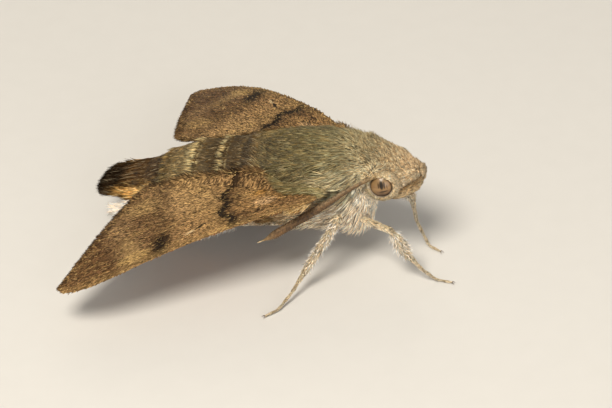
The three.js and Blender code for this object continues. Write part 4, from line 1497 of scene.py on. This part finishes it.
def away_from_eyes(root, lie, out, place, turn):
    """Drop roots under eyes and palps; comb the hair round the eyes outwards, and the brow's over them."""
    local = moth_to_body(root - OFFSET)
    centre = EYE_CENTRE * triples(np.sign(local[:, 0]), 1.0, 1.0)
    offset = local - centre
    distance = np.linalg.norm(offset, axis=1)
    outwards = way_to_moth(offset)
    outwards = unit(outwards - out * (outwards * out).sum(1, keepdims=True))
    above = smoothstep((offset[:, 2] * 0.85 - offset[:, 1] * 0.5) / distance, 0.1, 0.6)[:, None]
    over = way_to_moth([0.0, -1.0, -0.1])
    over = unit(over - out * (out @ over)[:, None])
    near = (smoothstep(distance, 1.75, 1.2) * 0.8)[:, None]
    lie = unit(lie * (1 - near) + outwards * near * (1 - above) + over * near * above)
    keep = distance > EYE_RADIUS * 0.985
    for side in (1, -1):
        palp = palp_tube(side)
        gap = np.linalg.norm(root[:, None] - palp["path"][None, ::3], axis=2)
        keep &= (gap > palp["radius"][::3] + 0.04).all(1)
    return root[keep], lie[keep], out[keep], place[keep], turn[keep]


class GrowHeadCoat(bpy.types.Operator):
    """Short upright hair of head and collar, hair round the eyes, and the scaled palps"""

    bl_idname = "hawk_moth.head_coat"
    bl_label = "Grow Head Coat"

    def execute(self, context):
        sizes = context.scene.hawk_moth_sizes
        length, width = sizes.head_hair / MM, sizes.hair_width / MM
        rng = np.random.default_rng(SEED + 2)

        def hair_length(place, turn):
            crest = smoothstep(place, -7.9, -6.6) * smoothstep(np.sin(turn), -0.2, 0.5)
            return length * (0.8 + 0.2 * smoothstep(place, -10, -8.8) + 0.5 * crest)

        def rising(place, turn):
            upper = smoothstep(np.sin(turn), -0.3, 0.4)
            collar, brow = smoothstep(place, -7.4, -6.2), smoothstep(place, -9.2, -10)
            return 0.3 + upper * (0.25 + 0.3 * collar + 0.2 * brow)

        def sweep(place, turn):
            return 0.25 * np.sin(turn * 2) * np.sign(np.cos(turn))

        combed = {"mess": 0.3, "keep": away_from_eyes}
        groups = [
            trunk_tufts(rng, tufts_of("head"), (NOSE, HEAD_END), (-90, 270), hair_length, width * 1.1, rising,
                        sweep, droop=0.2, **combed),
            self.face(rng, tufts_of("face"), width)]
        groups += [self.eye_rim(rng, tufts_of("eye rim"), width, side) for side in (1, -1)]
        groups.append(trunk_tufts(
            rng, tufts_of("throat"), (-8.8, -5.3), (192, 348), 0.62, width, 0.4, droop=0.2, **combed))
        # Hair that hangs from the cheeks over the palps and closes the line between them.
        for turns in ((186, 226), (314, 354)):
            groups.append(trunk_tufts(
                rng, tufts_of("cheek"), (-10.15, -8.5), turns, 0.5, width, 0.3, -0.95, droop=0.25, **combed))
        grow_tufts("coat_head", hair_material("beige head hair", markings()), merged(groups), rng)
        palps = [tube_tufts(rng, palp_tube(side), tufts_of("palp"), 0.34, width, 0.3, ON_PALP,
                            HALF_STRIP[side], droop=0.1, mess=0.15) for side in (1, -1)]
        pale = hair_material("pale palp scales", markings())
        grow_tufts("coat_palps", pale, merged(palps), rng)
        return {"FINISHED"}

    def face(self, rng, count, width):
        """Upright scales that round off the front of the face."""
        turn = rng.uniform(0, 2 * math.pi, count)
        share = np.sqrt(rng.uniform(0, 1, count))[:, None]
        rim, across = (skin_points(np.full(count, NOSE + 0.02), turn + half) for half in (0.0, math.pi))
        middle = (rim + across) / 2
        root = middle + (rim - middle) * share
        ahead = np.broadcast_to(unit(way_to_moth([0.0, -1.0, 0.0])), root.shape)
        uv = trunk_uv(np.full(count, NOSE), turn, (NOSE, HEAD_END))
        lie = unit(rim - middle) + ahead * 0.2
        return bundle(root, lie, ahead, triples(NOSE, np.sin(turn), ON_TRUNK), uv, 0.38, width * 1.1,
                      1.3 - 0.6 * share[:, 0], droop=0.1, mess=0.5)

    def eye_rim(self, rng, count, width, side):
        """Hair on the rim of one eye: combed back all round, and down over the eye at the brow."""
        _, _, ahead, up = eye_seat(side)
        turn = rng.uniform(0, 2 * math.pi, count)
        turn[::2] = BROW_TURN + rng.normal(0, 0.9, len(turn[::2]))
        spread = rng.uniform(-0.03, 0.3, count)
        root, out, ring, brow = orbit(side, turn, spread)
        root = root + out * 0.07
        combed = unit(ring * 0.9 - ahead * 0.9 * np.abs(np.sin(turn))[:, None])
        over = unit(ahead * 0.9 - up * 0.35 + ring * 0.15)
        lie = combed * (1 - brow)[:, None] + over * brow[:, None]
        place = np.clip(moth_to_body(root - OFFSET)[:, 1], NOSE, TAIL_TIP)
        unwrap = np.arcsin(0.9 * np.sin(turn)) + (0 if side > 0 else math.pi)
        uv = trunk_uv(place, unwrap, (NOSE, HEAD_END))
        return bundle(root, lie, out, triples(place, 0.15, ON_TRUNK), uv, 0.26 + 0.08 * brow, width * 0.9,
                      0.24 + 0.1 * brow, droop=0.1, mess=0.4)


def wing_root_tufts(rng, side, count, spans, chords, inside, length, width, lift, way, face=1):
    """Hair that grows on the upper face of a wing near its root, coloured as the flank beside it."""
    tries = count * 4
    span, chord = rng.uniform(*spans, tries), rng.uniform(*chords, tries)
    chosen = np.nonzero(inside(span, chord))[0][:count]
    span, chord = span[chosen], chord[chosen]
    here, _, _, out = wing_frame(span, chord, side)
    out = out * face
    lie = way - out * (out @ way)[:, None]
    beside = np.minimum(moth_to_body(here - OFFSET)[:, 1], 0.6)
    # The first hairs start inside the coat of the body, so no step shows where they begin.
    height = 0.04 - 0.42 * np.maximum(0.7 - span, 0.0)
    root = here + out * height[:, None]
    uv = np.stack([0.02 + 0.2 * (span + 1), 0.5 * (side < 0) + 0.01 + 0.48 * (chord + 3) / 8], -1)
    return bundle(across_sides(root, side), across_sides(lie, side), across_sides(out, side),
                  triples(beside, 0.66, ON_TRUNK), np.clip(uv, 0.01, 0.99), length, width, lift, droop=0.1,
                  mess=0.26)


class GrowThoraxCoat(bpy.types.Operator):
    """Olive-grey hair of the thorax, the shoulder tufts over the wing roots and the long breast hair"""

    bl_idname = "hawk_moth.thorax_coat"
    bl_label = "Grow Thorax Coat"

    def execute(self, context):
        sizes = context.scene.hawk_moth_sizes
        length, width = sizes.thorax_hair / MM, sizes.hair_width / MM
        rng = np.random.default_rng(SEED + 3)

        def combed_in(place, turn):
            rear, upper = smoothstep(place, -2.5, 1.0), smoothstep(np.sin(turn), 0.15, 0.6)
            return 0.55 * rear * upper * smoothstep(np.abs(np.cos(turn)), 0.05, 0.3)

        def rising(place, turn):
            return 0.2 + 0.4 * smoothstep(place, -4.4, -6.2)

        def shorter_in_front(place, turn):
            return length * (1 - 0.35 * smoothstep(place, -4.4, -6.2))

        olive = hair_material("olive thorax hair", markings())
        back = trunk_tufts(rng, tufts_of("thorax back"), (-6.4, 2.0), (8, 172), shorter_in_front,
                           width * 1.15, rising, combed_in, droop=0.12, mess=0.14)
        grow_tufts("coat_thorax_back", olive, back, rng)
        flanks = trunk_tufts(rng, tufts_of("thorax flanks"), (-6.0, 2.4), (172, 368), length * 0.95,
                             width * 1.25, 0.24, droop=0.15, mess=0.2)
        grow_tufts("coat_thorax_flanks", olive, flanks, rng)
        self.shoulders(rng, length, width, olive)
        self.breast(rng, width)
        return {"FINISHED"}

    def shoulders(self, rng, length, width, olive):
        """Pads of hair over the wing roots, and the golden hair along the front edge of each root."""
        def under_pad(span, chord):
            reach = np.interp(chord, SHOULDER_EDGE[:, 0], SHOULDER_EDGE[:, 1])
            front = -0.8 - 0.6 * smoothstep(span, -0.3, 0.6)
            rear = forewing_trail(np.maximum(span, 0.5)) + 0.2
            return (span < reach - 0.8) & (chord > front) & (chord < rear)

        def at_front(span, chord):
            return np.abs(chord - forewing_lead(span)) < 0.16

        pads, gold = [], []
        for side, turns, cover in ((1, (6, 46), (-8, 30)), (-1, (134, 174), (150, 188))):
            pads.append(trunk_tufts(rng, tufts_of("shoulder"), (-5.2, 0.4), turns, length * 1.3, width * 1.2,
                                    0.34, -0.3, droop=0.2, mess=0.16))
            pads.append(wing_root_tufts(rng, side, tufts_of("shoulder pad"), (-0.9, 3.2), (-1.4, 3.2),
                                        under_pad, 1.4, width * 1.2, 0.26, (0.3, 1.0, -0.2)))
            # Long hair from in front of the hinge lies over the place where the pad begins.
            pads.append(trunk_tufts(rng, tufts_of("shoulder cover"), (-5.5, -3.3), cover, 1.85, width * 1.2,
                                    0.4, droop=0.24, mess=0.2))
            gold.append(wing_root_tufts(rng, side, tufts_of("golden edge"), (1.6, 3.0), (-2.3, -1.0),
                                        at_front, 1.3, width * 0.9, 0.12, (0.8, 0.7, -0.5), face=-1))
        grow_tufts("coat_shoulders", olive, merged(pads), rng)
        golden = hair_material("golden wing root hair", GOLD_STOPS)
        grow_tufts("coat_wing_roots", golden, merged(gold), rng)

    def breast(self, rng, width):
        """Long pale hair of the breast, hanging back between the legs."""
        hair = trunk_tufts(rng, tufts_of("breast"), (-5.6, 0.0), (196, 344), 1.5, width * 1.15, 0.42,
                           droop=0.16, mess=0.24, rings=2)
        white = hair_material("white breast hair", markings(), 0.03, 2.1)
        grow_tufts("coat_breast", white, hair, rng)


class GrowAbdomenCoat(bpy.types.Operator):
    """Banded hair of the abdomen, standing a little proud at the rear edge of each ring"""

    bl_idname = "hawk_moth.abdomen_coat"
    bl_label = "Grow Abdomen Coat"

    def execute(self, context):
        sizes = context.scene.hawk_moth_sizes
        length, width = sizes.abdomen_hair / MM, sizes.hair_width / MM
        rng = np.random.default_rng(SEED + 4)

        def rising(place, turn):
            in_ring = ((place - WAIST) / RING_LENGTH) % 1
            return 0.12 + 0.14 * smoothstep(in_ring, 0.7, 1.0)

        coat = trunk_tufts(rng, tufts_of("abdomen"), (1.7, 12.9), (-90, 270), length, width * 1.35, rising,
                           droop=0.08, flat=0.45)
        grow_tufts("coat_abdomen", hair_material("banded abdomen hair", markings()), coat, rng)
        return {"FINISHED"}


class GrowTailCoat(bpy.types.Operator):
    """The broad black tail brush and the white tuft on each side of it"""

    bl_idname = "hawk_moth.tail_coat"
    bl_label = "Grow Tail Coat"

    def execute(self, context):
        sizes = context.scene.hawk_moth_sizes
        length, width = sizes.tail_hair / MM, sizes.hair_width / MM
        rng = np.random.default_rng(SEED + 5)

        def reach(place, turn):
            return np.minimum(length, TAIL_TIP + 0.15 - place) * (1.0 - 0.3 * np.abs(np.cos(turn)) ** 3)

        brush = trunk_tufts(rng, tufts_of("tail brush"), (11.6, 15.35), (-90, 270), reach, width * 1.3, 0.11,
                            droop=0.03, mess=0.08, rings=2)
        black = hair_material("black tail hair", markings(), 0.3, 1.8, sheen=0.0, gloss=0.08)
        grow_tufts("coat_tail_brush", black, brush, rng)
        tufts = [tube_tufts(rng, tail_tuft_tube(side), tufts_of("tail tuft"), 1.0, width * 1.25, 0.26,
                            ON_TUFT, HALF_STRIP[side], (0.05, 0.95), mess=0.22, rings=2) for side in (1, -1)]
        white = hair_material("white side tuft hair", markings(), 0.7, 1.25)
        grow_tufts("coat_tail_tufts", white, merged(tufts), rng)
        return {"FINISHED"}


class GrowLegCoat(bpy.types.Operator):
    """Small pale scales on the legs, with fringes on the thighs and shanks"""

    bl_idname = "hawk_moth.leg_coat"
    bl_label = "Grow Leg Coat"

    def execute(self, context):
        width = context.scene.hawk_moth_sizes.hair_width / MM
        rng = np.random.default_rng(SEED + 6)
        scales, fringes = [], []
        for index, name in enumerate(LEGS):
            shape = leg_tube(name)
            strip = (index / len(LEGS), (index + 1) / len(LEGS))
            foot = (shape["ankle"] - 0.05, shape["ankle"] + 0.1)
            shank = (shape["knee"] + 0.02, shape["ankle"] - 0.02)
            thigh = (0.02, shape["knee"])
            scales.append(tube_tufts(
                rng, shape, tufts_of("leg scales"),
                lambda share, turn: 0.32 - 0.18 * smoothstep(share, *foot),
                lambda share, turn: width * (1.05 - 0.35 * smoothstep(share, *foot)),
                0.2, ON_LEG, strip, mess=0.15, flat=0.5))
            for part, length, thickness, lift, kind, along, mess in (
                    ("shank fringe", 0.42, 0.75, 0.5, ON_LEG, shank, 0.3),
                    ("shank bristles", 0.62, 0.55, 0.85, ON_TUFT, shank, 0.4),
                    ("thigh fringe", 0.45, 0.75, 0.3, ON_LEG, thigh, 0.25)):
                fringes.append(tube_tufts(rng, shape, tufts_of(part), length, width * thickness, lift, kind,
                                          strip, along, droop=0.2, mess=mess))
        pale = hair_material("pale leg scales", markings(), 0.12, 1.9)
        grow_tufts("coat_legs", pale, merged(scales), rng)
        grow_tufts("coat_leg_fringes", pale, merged(fringes), rng)
        return {"FINISHED"}


class BuildClaws(bpy.types.Operator):
    """A pair of hooked claws on each foot and the spurs of the shanks"""

    bl_idname = "hawk_moth.claws"
    bl_label = "Build Claws"

    def execute(self, context):
        parts, tips = [], []
        steps, sides = 8, 8

        def add_hook(start, ahead, bend, length, radius):
            share = np.linspace(0, 1, steps + 1)[:, None]
            path = start + ahead * length * share + bend * length * share**2
            path[:, 2] = np.maximum(path[:, 2], FLOOR_GAP + 0.018)
            points, faces = tube_loft(tube(path, radius * (1 - 0.9 * share[:, 0])), sides)
            parts.append((points, faces))
            tips.append(np.linalg.norm(points[:, None] - path[None], axis=2).argmin(1) / steps)

        for name in LEGS:
            shape = leg_tube(name)
            end, ahead = shape["path"][-1], shape["ahead"][-1]
            level = unit(np.cross(ahead, [0.0, 0.0, 1.0]))
            for way in (1, -1):
                start = end + ahead * 0.08 + level * way * 0.05 + np.array([0, 0, 0.03])
                add_hook(start, unit(ahead + level * way * 0.5 + np.array([0, 0, 0.35])),
                         np.array([0.0, 0.0, -0.75]), 0.24, 0.038)
            if name.startswith("foreleg"):
                continue
            spot = int(shape["ankle"] * (len(shape["path"]) - 1)) - 3
            start, ahead = shape["path"][spot], shape["ahead"][spot]
            level = unit(np.cross(ahead, [0.0, 0.0, 1.0]))
            for way in (1, -1):
                out = unit(level * way - np.array([0, 0, 0.5]))
                add_hook(start + out * 0.1, unit(ahead + out * 0.45), out * -0.1, 0.62, 0.055)
        points, faces = joined(parts)
        piece = new_piece("claws", points, faces, claw_material(), vectors={"root": points},
                          numbers={"tip": np.concatenate(tips)})
        settle(piece)
        return {"FINISHED"}


# Lamps of the stage: name, place and size in metres, share of the key or fill power, colour.
LAMPS = (
    ("key", (-0.24, 0.02, 0.33), 0.16, (1.0, 0.0), "#fff4e2"),
    ("fill", (-0.30, -0.26, 0.12), 0.30, (0.0, 1.0), "#fff9f0"),
    ("rim", (0.30, 0.10, 0.24), 0.22, (0.0, 0.25), "#fff0da"),
)
LAMP_TARGET = Vector((0, 0, 0.004))
CAMERA_TARGET = np.array([0.0, -0.73, 4.0])
SENSOR_WIDTH = 36


class SetStage(bpy.types.Operator):
    """Plain pale floor, soft studio light and the camera"""

    bl_idname = "hawk_moth.stage"
    bl_label = "Set Stage"

    def execute(self, context):
        stage = context.scene.hawk_moth_stage
        half = stage.floor_size / 2 / MM
        corners = np.array([[-half, -half, 0], [half, -half, 0], [half, half, 0], [-half, half, 0]])
        floor = new_piece("floor", corners, [np.array([[0, 1, 2, 3]])], floor_material(stage.floor_colour))
        self.set_camera(stage)
        self.set_lights(stage, context.scene)
        return {"FINISHED"}

    def set_camera(self, stage):
        target = Vector(CAMERA_TARGET + OFFSET) * MM
        away = Vector((math.sin(stage.azimuth) * math.cos(stage.elevation),
                       -math.cos(stage.azimuth) * math.cos(stage.elevation), math.sin(stage.elevation)))
        right = (-away).cross(Vector((0, 0, 1))).normalized()
        up = right.cross(-away)
        turned_right = right * math.cos(stage.roll) + up * math.sin(stage.roll)
        turned_up = up * math.cos(stage.roll) - right * math.sin(stage.roll)
        data = bpy.data.cameras.new("camera")
        data.sensor_width = SENSOR_WIDTH
        data.lens = stage.lens
        data.clip_start = 0.01
        data.clip_end = 20
        camera = bpy.data.objects.new("camera", data)
        camera.matrix_world = Matrix.Translation(target + away * stage.distance) @ Matrix(
            (turned_right, turned_up, away)).transposed().to_4x4()
        bpy.context.scene.collection.objects.link(camera)
        bpy.context.scene.camera = camera

    def set_lights(self, stage, scene):
        for name, place, size, (of_key, of_fill), colour in LAMPS:
            data = bpy.data.lights.new(name, "AREA")
            data.shape = "DISK"
            data.size = size
            data.energy = of_key * stage.key_power + of_fill * stage.fill_power
            data.color = linear(colour)[:3]
            lamp = bpy.data.objects.new(name, data)
            lamp.location = place
            lamp.rotation_euler = (LAMP_TARGET - Vector(place)).to_track_quat("-Z", "Y").to_euler()
            scene.collection.objects.link(lamp)
        world = bpy.data.worlds.new("pale surroundings")
        world.use_nodes = True
        sky = world.node_tree.nodes["Background"]
        sky.inputs["Color"].default_value = linear("#f3ece0")
        sky.inputs["Strength"].default_value = stage.sky
        scene.world = world
        scene.view_settings.view_transform = "Standard"


OPERATORS = (
    SetStage, BuildSkin, BuildEyes, BuildAntennae, BuildWings, GrowWingScales, GrowHeadCoat, GrowThoraxCoat,
    GrowAbdomenCoat, GrowTailCoat, GrowLegCoat, BuildClaws,
)


class HawkMothPanel(bpy.types.Panel):
    """Lists the steps that build the moth, with their settings"""

    bl_idname = "VIEW3D_PT_hawk_moth"
    bl_label = "Hawk Moth"
    bl_space_type = "VIEW_3D"
    bl_region_type = "UI"
    bl_category = "Hawk Moth"

    def draw(self, context):
        layout = self.layout
        for group in (context.scene.hawk_moth_sizes, context.scene.hawk_moth_stage):
            box = layout.box()
            for label in type(group).__annotations__:
                box.prop(group, label)
        for operator in OPERATORS:
            layout.operator(operator.bl_idname)


CLASSES = (HawkMothSizes, HawkMothStage, *OPERATORS, HawkMothPanel)


def register():
    for item in CLASSES:
        bpy.utils.register_class(item)
    bpy.types.Scene.hawk_moth_sizes = bpy.props.PointerProperty(type=HawkMothSizes)
    bpy.types.Scene.hawk_moth_stage = bpy.props.PointerProperty(type=HawkMothStage)


def unregister():
    del bpy.types.Scene.hawk_moth_stage
    del bpy.types.Scene.hawk_moth_sizes
    for item in reversed(CLASSES):
        bpy.utils.unregister_class(item)


def main():
    register()
    for operator in OPERATORS:
        group, label = operator.bl_idname.split(".")
        getattr(getattr(bpy.ops, group), label)()


if __name__ == "__main__":
    main()
